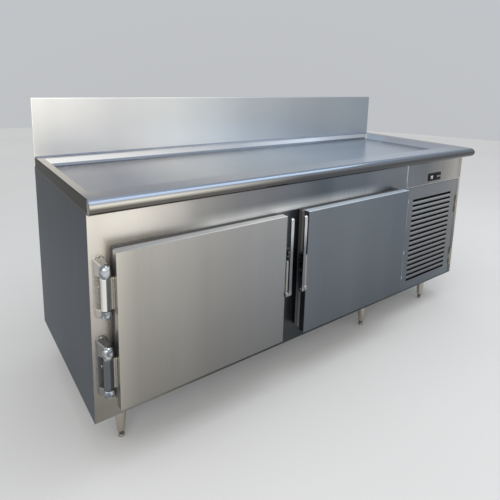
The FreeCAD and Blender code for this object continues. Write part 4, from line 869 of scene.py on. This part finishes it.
def latches():
    """Two edge-mounted latches and the keeper between them."""
    for side in ("left", "right"):
        low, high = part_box(side + "_latch_lever")
        body = side + "_latch"
        boss_radius = 12 * MM
        boss_z, boss_y = low.z + boss_radius, low.y + boss_radius
        half = (high.x - low.x) / 2
        middle = (low.x + high.x) / 2
        length = high.z - boss_z
        round_tip = 7 * MM
        rows = []
        places = np.concatenate([np.linspace(0, length - round_tip, 24),
                                 length - round_tip + round_tip * np.sin(np.linspace(0.15, math.pi / 2, 9))])
        for climb in places:
            past = max((climb - (length - round_tip)) / round_tip, 0.0)
            tip = math.sqrt(max(1 - past * past, 0.0))
            belly = 1 - 0.10 * math.sin(math.pi * min(climb / length, 1.0)) ** 2
            half_x = half * belly * (0.25 + 0.75 * tip)
            thick = 10 * MM * (0.3 + 0.7 * tip)
            back = low.y + 10 * MM
            u, v = outline(-half_x, half_x, back - thick, back, min(half_x, thick / 2) * 0.7, 4)
            rows.append(order(u + middle, v, np.full_like(u, boss_z + climb), "xyz"))
        arm = solid(rows)
        boss = turned(dome(low.x, high.x, boss_radius, 2.5 * MM), (0, boss_y, boss_z), "x", 36)
        piece(side + "_lever", join(arm, boss), "lever", body,
              [side + "_latch_lever"], crease=40)

        low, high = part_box(side + "_latch_body")
        inward = INWARD[side]
        edge_x = low.x if side == "left" else high.x
        face = sorted((edge_x, edge_x + inward * 13 * MM))
        case = block((face[0], boss_y - 5 * MM, low.z), (face[1], high.y, high.z), 3 * MM, 6 * MM, axis="x",
                     round_low=side == "right", round_high=side == "left")
        ear = turned(dome(*face, boss_radius, 1.5 * MM), (0, boss_y, boss_z), "x", 36)
        cover_y = boss_y - 5 * MM
        cover = block((face[0] + 2.5 * MM, cover_y - 0.9 * MM, low.z + 24 * MM),
                      (face[1] - 2.5 * MM, cover_y + 1 * MM, high.z - 4 * MM), 0.9 * MM, 3.9 * MM,
                      round_high=False)
        end_x = edge_x + inward * 29.5 * MM
        pin_face = sorted((end_x - inward * 17 * MM, end_x))
        pin = turned(dome(*pin_face, 3.95 * MM, 1.2 * MM), (0, boss_y, boss_z), "x", 24)
        piece(side + "_latch_case", join(case, ear), "lever", side + "_door",
              [side + "_latch_body"], crease=35)
        piece(side + "_latch_cover", join(cover, pin), "keeper", side + "_door",
              [side + "_latch_body"], crease=35)

    low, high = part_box("latch_strike")
    base = block((low.x, high.y - 5 * MM, low.z), high, 1.2 * MM, 4 * MM, round_high=False)
    ramp_points = [(high.y - 4 * MM, low.z + 8 * MM), (low.y + 6 * MM, low.z + 22 * MM),
                   (low.y, low.z + 40 * MM), (low.y, high.z - 22 * MM),
                   (low.y + 5 * MM, high.z - 10 * MM), (high.y - 4 * MM, high.z - 6 * MM)]
    keeper = extruded(ramp_points, low.x + 7 * MM, high.x - 7 * MM, "yzx")
    rollers = [turned(dome(low.x + 3 * MM, high.x - 3 * MM, 4.5 * MM, 1 * MM),
                      (0, low.y + 7 * MM, z), "x", 24) for z in (low.z + 46 * MM, high.z - 30 * MM)]
    piece("keeper", join(base, keeper, *rollers), "keeper", "cabinet",
          ["latch_strike"], crease=30)


# ================================================================ worktop


def worktop():
    """One folded sheet: level rims, leaning inner faces with soft bends, and the sunk deck."""
    low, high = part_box("worktop_tray")
    nose_low, nose_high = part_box("worktop_nosing")
    splash_low, splash_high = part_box("backsplash")
    sheet_t, drop, bend = 1.5 * MM, TRAY_DROP, 2.6 * MM
    # How far before its corner a bend of 45 degrees starts, in bend radii.
    setback = 0.41
    top = high.z
    radius = (nose_high.z - nose_low.z) / 2
    roll_z = nose_low.z + radius
    nosing = (nose_high.x - radius, nose_low.y + radius)
    x1, x2 = low.x + 28 * MM, nosing[0] - 57 * MM
    y1, y2 = nosing[1] + 80 * MM, high.y - 45 * MM

    def rings(level, offset):
        """From the rim to the deck: a bend, the leaning face and a bend, drawn in by an offset."""
        eighth = np.linspace(0, math.pi / 4, 5)
        made = [(offset - bend * setback + bend * math.sin(a), level - bend * (1 - math.cos(a)))
                for a in eighth]
        made += [(offset + drop + bend * setback - bend * math.sin(a),
                  level - drop + bend * (1 - math.cos(a))) for a in eighth[::-1]]
        return [(x1 + inset, x2 - inset, y1 + inset, y2 - inset, 0.0004, z) for inset, z in made]

    rim = (low.x + 3 * MM, nosing[0], nosing[1], high.y, 0.0003)
    upper, lower = rings(top, 0), rings(top - sheet_t, -sheet_t * setback)
    tray = stack(lower[::-1] + [(*rim, top - sheet_t), (*rim, top)] + upper, "xyz", steps=1)
    piece("worktop_sheet", tray, "worktop", "cabinet", ["worktop_tray"], crease=60)

    turn = quarter(5)
    fold = 3.0 * MM
    side_x = low.x + 0.8 * MM
    outer = [(side_x + fold * (1 - math.cos(a)), top - fold * (1 - math.sin(a))) for a in turn]
    inner = [(side_x + fold - (fold - sheet_t) * math.cos(a), top - fold + (fold - sheet_t) * math.sin(a))
             for a in turn[::-1]]
    section = [(side_x, low.z)] + outer + inner + [(side_x + sheet_t, low.z)]
    skirt = extruded(section, nosing[1], high.y, "xzy")
    piece("worktop_skirt", skirt, "skirt", "cabinet", ["worktop_tray"], crease=50)
    hem_radius, hem_z = 3.4 * MM, low.z + 4.2 * MM
    hem = tube([(low.x + hem_radius, y, hem_z) for y in (nosing[1], high.y)], hem_radius)
    piece("worktop_skirt_hem", hem, "hem", "cabinet")

    half_turn = np.linspace(math.pi / 2, -math.pi / 2, 25)
    out = [(radius * math.cos(a), roll_z + radius * math.sin(a)) for a in half_turn]
    back_in = [((radius - sheet_t) * math.cos(a), roll_z + (radius - sheet_t) * math.sin(a))
               for a in half_turn[::-1]]
    section = out + [(-radius, nose_low.z), (-radius, nose_low.z + sheet_t)] + back_in
    # Round the corner each line of the roll follows a squarish curve.
    power = 5.0
    rows = [[(low.x + 1 * MM, nosing[1] - reach, z) for reach, z in section]]
    for a in quarter(10):
        sine, cosine = math.sin(a), math.cos(a)
        size = (sine ** power + cosine ** power) ** (1 / power)
        rows.append([(nosing[0] + reach * sine / size, nosing[1] - reach * cosine / size, z)
                     for reach, z in section])
    rows.append([(nosing[0] + reach, high.y, z) for reach, z in section])
    piece("worktop_roll", solid(rows), "roll", "cabinet", ["worktop_nosing"], crease=40)
    rows = []
    for inset, x in ((0.0, low.x + 2.2 * MM), (0.5, low.x + 0.7 * MM), (1.6, low.x + 0.1 * MM), (3.0, low.x)):
        r = radius - inset * MM
        rows.append([(x, nosing[1] - r * math.cos(a), roll_z + r * math.sin(a)) for a in half_turn]
                    + [(x, nosing[1] + 1 * MM, roll_z - r), (x, nosing[1] + 1 * MM, roll_z + r)])
    piece("worktop_roll_end", solid(rows), "end_cap", "cabinet")
    mitres = [tube([(x, y, top), (x + across * drop, y + along * drop, top - drop)], 0.8 * MM, 8)
              for y, along in ((y2, -1), (y1, 1)) for x, across in ((x1, 1), (x2 - 0.4 * MM, -1))]
    piece("tray_mitre_welds", join(*mitres), "weld", "cabinet")

    splash = block(splash_low, splash_high, 2.2 * MM, axis="z", round_low=False, corner=2.0 * MM)
    piece("backsplash_panel", splash, "splash", "cabinet", ["backsplash"])
    # A bead in the cove at the foot of the backsplash; its dark blue is a painted reflection.
    size = 4.5 * MM
    curve = [(high.y - size + size * math.sin(a), top + size - size * math.cos(a)) for a in quarter(5)]
    bead = extruded([(high.y, top - 0.2 * MM), (high.y - size, top - 0.2 * MM)] + curve,
                    low.x + 3 * MM, nosing[0] - 1 * MM, "yzx")
    piece("backsplash_cove", bead, "cove_reflection_bead", "cabinet")
    upright = tube([(splash_high.x - 1.2 * MM, splash_low.y + 0.9 * MM, z)
                    for z in (top + 3 * MM, splash_high.z - 4 * MM)], 1.1 * MM, 8)
    piece("backsplash_end_weld", upright, "weld", "cabinet")


# ================================================================ service grille and controls


def grille():
    """Louvred door: a folded frame of sheet and, between its slots, bars that swell to a rolled lower lip."""
    low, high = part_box("grille_door")
    front, back = low.y, low.y + 1.6 * MM
    x1, x2 = low.x + 59 * MM, high.x - 53 * MM
    pitch, tall, slots = SLOT_PITCH, 13.6 * MM, 17
    top = high.z - 68 * MM + tall / 2
    bottom = top - (slots - 1) * pitch - tall
    fold = 1.4 * MM
    turn = quarter(4)
    rings = [(x1, x2, bottom, top, 0.001, back), (x1, x2, bottom, top, 0.001, front)]
    outer = (low.x, high.x, low.z, high.z, 0.002)
    rings += [shrunk(outer, fold * (1 - math.sin(a)), front + fold * (1 - math.cos(a))) for a in turn]
    rings.append(shrunk(outer, 0, back))
    sheet = stack(rings, "xzy", closed=True, steps=2)
    inset = (low.x + 5 * MM, high.x - 5 * MM, low.z + 5 * MM, high.z - 5 * MM, 0.001)
    flange = stack([shrunk(inset, 0, back), shrunk(inset, 0, high.y), shrunk(inset, 1.6 * MM, high.y),
                    shrunk(inset, 1.6 * MM, back)], "xzy", closed=True, steps=2)
    piece("grille_sheet", join(sheet, flange), "grille", "service_grille",
          ["grille_door"])

    bars = []
    share = np.linspace(0, 1, 12)
    for index in range(slots - 1):
        bar_top = top - tall - index * pitch
        depth = pitch - tall
        swell = 1.4 * MM * share ** 2.2
        z = bar_top - share * depth
        face = [(back + 3 * MM, bar_top + 0.3 * MM), (back, bar_top + 0.2 * MM)]
        face += list(zip(front + 0.4 * MM - swell, z))
        lip = [(front - 1.0 * MM, z[-1] - 0.8 * MM), (front - 0.2 * MM, z[-1] - 0.9 * MM)]
        inner = list(zip(front + 1.5 * MM - swell, z + 0.2 * MM))[::-1]
        inner += [(back + 1 * MM, bar_top - 1.2 * MM), (back + 3 * MM, bar_top - 0.9 * MM)]
        bars.append(extruded(face + lip + inner, x1 - 0.5 * MM, x2 + 0.5 * MM, "yzx"))
    # A near-black mat behind the slots stands in for the shade inside the grille.
    over = 14 * MM
    mat = block((x1 - over, back + 4.5 * MM, bottom - over), (x2 + over, back + 9 * MM, top + over),
                1.5 * MM, 3 * MM)
    piece("grille_shade_mat", mat, "slot_shade", "service_grille")
    piece("grille_louvres", join(*bars), "louvre", "service_grille",
          ["grille_door"], crease=40)


def seam(name, start, end, radius):
    """A thin welded or rolled edge of the cabinet, from one point to another."""
    piece(name, tube([start, end], radius, 10), "weld", "cabinet")


def controls():
    """Temperature controller: rounded bezel, tinted window, two numerals and three keys."""
    low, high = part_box("controller_case")
    front = low.y
    bezel = block((low.x, front, low.z), (high.x, front + 3 * MM, high.z), 1.6 * MM, 4 * MM, round_high=False)
    rim = 4 * MM
    case = block((low.x + rim, front + 2 * MM, low.z + rim), (high.x - rim, high.y, high.z - rim), 1 * MM)
    piece("controller_body", join(bezel, case), "black", "cabinet", ["controller_case"])
    glass = (low.x + 6 * MM, high.x - 42 * MM, low.z + 6 * MM, high.z - 6 * MM)
    window = block((glass[0], front - 0.3 * MM, glass[2]), (glass[1], front + 0.5 * MM, glass[3]),
                   0.3 * MM, 2 * MM, round_high=False)
    piece("controller_window", window, "window", "cabinet")

    wide, tall, stroke = 7 * MM, 14 * MM, 1.2 * MM
    # Each bar of a numeral: how far across and up it sits, and the axis it lies along.
    places = {"a": (0, 1, "x"), "g": (0, 0, "x"), "d": (0, -1, "x"), "b": (1, 0.5, "z"),
              "c": (1, -0.5, "z"), "f": (-1, 0.5, "z"), "e": (-1, -0.5, "z")}
    base_z = (low.z + high.z) / 2
    bars = []
    for lit, middle in (("abgcd", glass[0] + 15 * MM), ("abcdefg", glass[0] + 27 * MM)):
        for letter in lit:
            across, up, way = places[letter]
            x = middle + across * wide / 2
            z = base_z + up * tall / 2
            length_x = (wide / 2 - 1 * MM) if way == "x" else stroke
            length_z = stroke if way == "x" else (tall / 4 - 1 * MM)
            bars.append(block((x - length_x, front - 0.42 * MM, z - length_z),
                              (x + length_x, front - 0.2 * MM, z + length_z), 0.1 * MM, 0.6 * MM,
                              round_high=False, steps=2))
    piece("controller_numerals", join(*bars), "digit", "cabinet")

    for name, kind in (("down", -1), ("up", 1), ("set", 0)):
        node = "controller_key_" + name
        low_k, high_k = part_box(node)
        cap = block(low_k, high_k, 0.6 * MM, 1.6 * MM, round_high=False)
        piece("key_cap_" + name, cap, "key", "key_" + name, [node])
        x, z = (low_k.x + high_k.x) / 2, (low_k.z + high_k.z) / 2
        reach = 2.0 * MM
        if kind:
            foot_z = z - kind * reach * 0.6
            shape = [(x - reach, foot_z), (x + reach, foot_z), (x, z + kind * reach)]
        else:
            shape = [(x + reach * 0.9 * math.cos(a), z + reach * 0.9 * math.sin(a))
                     for a in np.linspace(0, 2 * math.pi, 20, endpoint=False)]
        mark = extruded(shape, low_k.y - 0.08 * MM, low_k.y + 0.1 * MM, "xzy")
        piece("key_mark_" + name, mark, "mark", "key_" + name)

    low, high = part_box("control_fascia")
    seam("fascia_seam_weld", (low.x, low.y, low.z + 2 * MM), (low.x, low.y, high.z - 12 * MM), 1.7 * MM)
    lip_y, lip_z = low.y + 0.4 * MM, low.z + 0.9 * MM
    seam("fascia_lower_lip", (low.x, lip_y, lip_z), (high.x - 2 * MM, lip_y, lip_z), 1.1 * MM)
    low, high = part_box("face_frame")
    x, y = high.x - 1.2 * MM, low.y + 0.6 * MM
    seam("cabinet_corner_weld", (x, y, low.z + 2 * MM), (x, y, high.z - 12 * MM), 1.4 * MM)


# ================================================================ legs


def legs():
    """Tapered legs with a mounting collar, and threaded feet with a flanged pad."""
    low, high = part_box("legs")
    feet = [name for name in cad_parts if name.endswith("_foot")]
    columns = []
    for name in feet:
        foot_low, foot_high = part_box(name)
        x, y = (foot_low.x + foot_high.x) / 2, (foot_low.y + foot_high.y) / 2
        reach = (foot_high.x - foot_low.x) / 2
        wide, narrow = 25.5 * MM, 14 * MM
        neck = wide * 0.92
        taper = [(low.z + 3 * MM + (high.z - 10 * MM - low.z) * t, narrow + (neck - narrow) * t)
                 for t in np.linspace(0, 1, 10)]
        bore = [(low.z + 37 * MM, 0), (low.z + 37 * MM, reach * 0.98), (low.z, reach * 0.98)]
        profile = bore + [(low.z, narrow - 2 * MM), (low.z + 0.6 * MM, narrow - 0.6 * MM)] + taper
        profile += [(high.z - 6.4 * MM, neck), (high.z - 6 * MM, wide), (high.z - 0.5 * MM, wide),
                    (high.z, wide - 0.5 * MM), (high.z, 0)]
        columns.append(turned(profile, (x, y, 0), "z", 40))
        base = foot_low.z
        pad = [(base, 0), (base, reach - 1 * MM), (base + 1 * MM, reach), (base + 5 * MM, reach),
               (base + 6.5 * MM, reach - 1.2 * MM)]
        thread = []
        z = base + 8 * MM
        while z < low.z - 2 * MM:
            thread += [(z, reach * 0.82), (z + 0.7 * MM, reach * 0.93), (z + 1.4 * MM, reach * 0.82)]
            z += 1.9 * MM
        # The screw ends 1 mm short of the bore's inner end.
        top_z = min(foot_high.z, low.z + 36 * MM)
        stem = pad + thread + [(low.z - 0.2 * MM, reach * 0.82), (top_z, reach * 0.82), (top_z, 0)]
        piece(name + "_turned", turned(stem, (x, y, 0), "z", 28), "foot", name + "_screw",
              [name], crease=40)
    piece("turned_legs", join(*columns), "leg", "cabinet", ["legs"], crease=35)


# ================================================================ fans


def fan(node, body, blades, look):
    """Blades as twisted, dished sheets: pitch falls and chord grows from the hub to the tip."""
    low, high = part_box(node)
    centre = (low + high) / 2
    reach = max(high.x - low.x, high.z - low.z) / 2
    hub = reach * 0.26
    depth = high.y - low.y
    parts = [turned(dome(-depth / 2, depth / 2, hub, 2.5 * MM), centre, "y", 32)]
    r = np.linspace(hub * 0.9, reach * 0.985, 12)[:, None]
    t = np.linspace(-0.5, 0.5, 9)[None, :]
    for index in range(blades):
        share = (r - hub) / (reach - hub)
        chord = (0.78 + 0.30 * share) * 2 * math.pi / blades * 0.72
        sweep = 0.22 * share ** 1.5
        angle = index * 2 * math.pi / blades + sweep + t * chord
        lift = t * depth * 0.78 * (1 - 0.28 * share) + 0.10 * depth * (1 - 4 * t * t)
        grids = []
        for shift in (-0.6 * MM, 0.6 * MM):
            grids.append(np.stack([centre.x + r * np.cos(angle), centre.y + lift + shift + 0 * r,
                                   centre.z + r * np.sin(angle)], -1))
        rim = np.stack([np.concatenate([g[0], g[1:, -1], g[-1, -2::-1], g[-2:0:-1, 0]]) for g in grids])
        parts.append(join(skin(grids[0]), skin(grids[1]), skin(rim, close_columns=True)))
    piece(node + "_wheel", join(*parts), look, body, [node], crease=40)


# ================================================================ studio


def studio():
    """Pale floor, a soft surround that is brighter to the front left, and two soft lamps."""
    radius = np.concatenate([[0.001], np.linspace(1.0, 9.0, 9)])[:, None]
    turn = np.linspace(0, 2 * math.pi, 96, endpoint=False)
    points, faces = skin(order(radius * np.cos(turn), radius * np.sin(turn), 0.0, "xyz"), close_columns=True)
    look = Look("studio_floor_paint", roughness=0.75)
    look.shade("Base Color", look.ramp(look.noise(0.6, detail=3.0), [(0.2, 0.56), (0.8, 0.60)]))
    new_object("studio_floor", points + [0, 0, cad_low.z], faces, look.material)

    world = bpy.data.worlds.new("studio_surround")
    world.use_nodes = True
    bpy.context.scene.world = world
    surround = Graph(world.node_tree)
    where = surround.add("ShaderNodeTexCoord")
    toward = surround.add("ShaderNodeVectorMath", {"operation": "DOT_PRODUCT"}, {
        0: where.outputs["Generated"], 1: (-0.45, -0.62, 0.64)})
    share = surround.add("ShaderNodeMapRange", values={
        "Value": toward.outputs["Value"], "From Min": -1.0, "From Max": 1.0})
    light = surround.ramp(share.outputs[0], [
        (0.0, 0.50, 0.51, 0.53), (0.45, 0.58, 0.60, 0.63), (0.72, 1.04, 1.06, 1.09), (1.0, 1.34, 1.31, 1.26)])
    backdrop = world.node_tree.nodes["Background"]
    surround.feed(backdrop.inputs["Color"], light)
    surround.feed(backdrop.inputs["Strength"], 1.0)

    for name, place, aim, size, power, colour in (
            ("lamp_overhead", (0.9, -1.0, 3.4), (0.9, -0.9, 0.0), (4.2, 1.9), 48.0, (0.92, 0.96, 1.0)),
            ("lamp_left", (-3.2, -2.8, 2.0), (-0.3, -0.2, 0.6), (1.8, 1.8), 30.0, (1.0, 0.96, 0.90))):
        lamp = bpy.data.lights.new(name, "AREA")
        lamp.shape = "RECTANGLE"
        lamp.size, lamp.size_y = size
        lamp.energy = power
        lamp.color = colour
        holder = bpy.data.objects.new(name, lamp)
        facing = (Vector(aim) - Vector(place)).normalized()
        holder.matrix_world = Matrix.Translation(place) @ facing.to_track_quat("-Z", "Y").to_matrix().to_4x4()
        bpy.context.scene.collection.objects.link(holder)


def camera():
    """The camera off the front left corner, above the worktop, looking slightly down."""
    turn, tip, lean = 0.6564593, -0.1835952, 0.0320446
    ahead = Vector((math.sin(turn) * math.cos(tip), math.cos(turn) * math.cos(tip), math.sin(tip)))
    level = Vector((math.cos(turn), -math.sin(turn), 0))
    upward = level.cross(ahead)
    right = level * math.cos(lean) + upward * math.sin(lean)
    up = upward * math.cos(lean) - level * math.sin(lean)
    lens = bpy.data.cameras.new("camera")
    lens.sensor_width = 36.0
    lens.lens = 31.97
    lens.shift_x, lens.shift_y = -0.0333, -0.182
    lens.clip_end = 60.0
    eye = bpy.data.objects.new("camera", lens)
    place = (-1.359161, -1.586724, 1.229144)
    rows = [(*row, spot) for row, spot in zip(zip(right, up, -ahead), place)]
    eye.matrix_world = Matrix(rows + [(0, 0, 0, 1)])
    bpy.context.scene.collection.objects.link(eye)
    bpy.context.scene.camera = eye


for side in ("left", "right"):
    door(side)
hinges()
latches()
worktop()
grille()
controls()
legs()
fan("condenser_fan", "condenser_fan_wheel", 5, "fins")
fan("evaporator_fan", "evaporator_fan_wheel", 5, "black")
studio()
camera()

bpy.context.scene.view_settings.view_transform = "Standard"
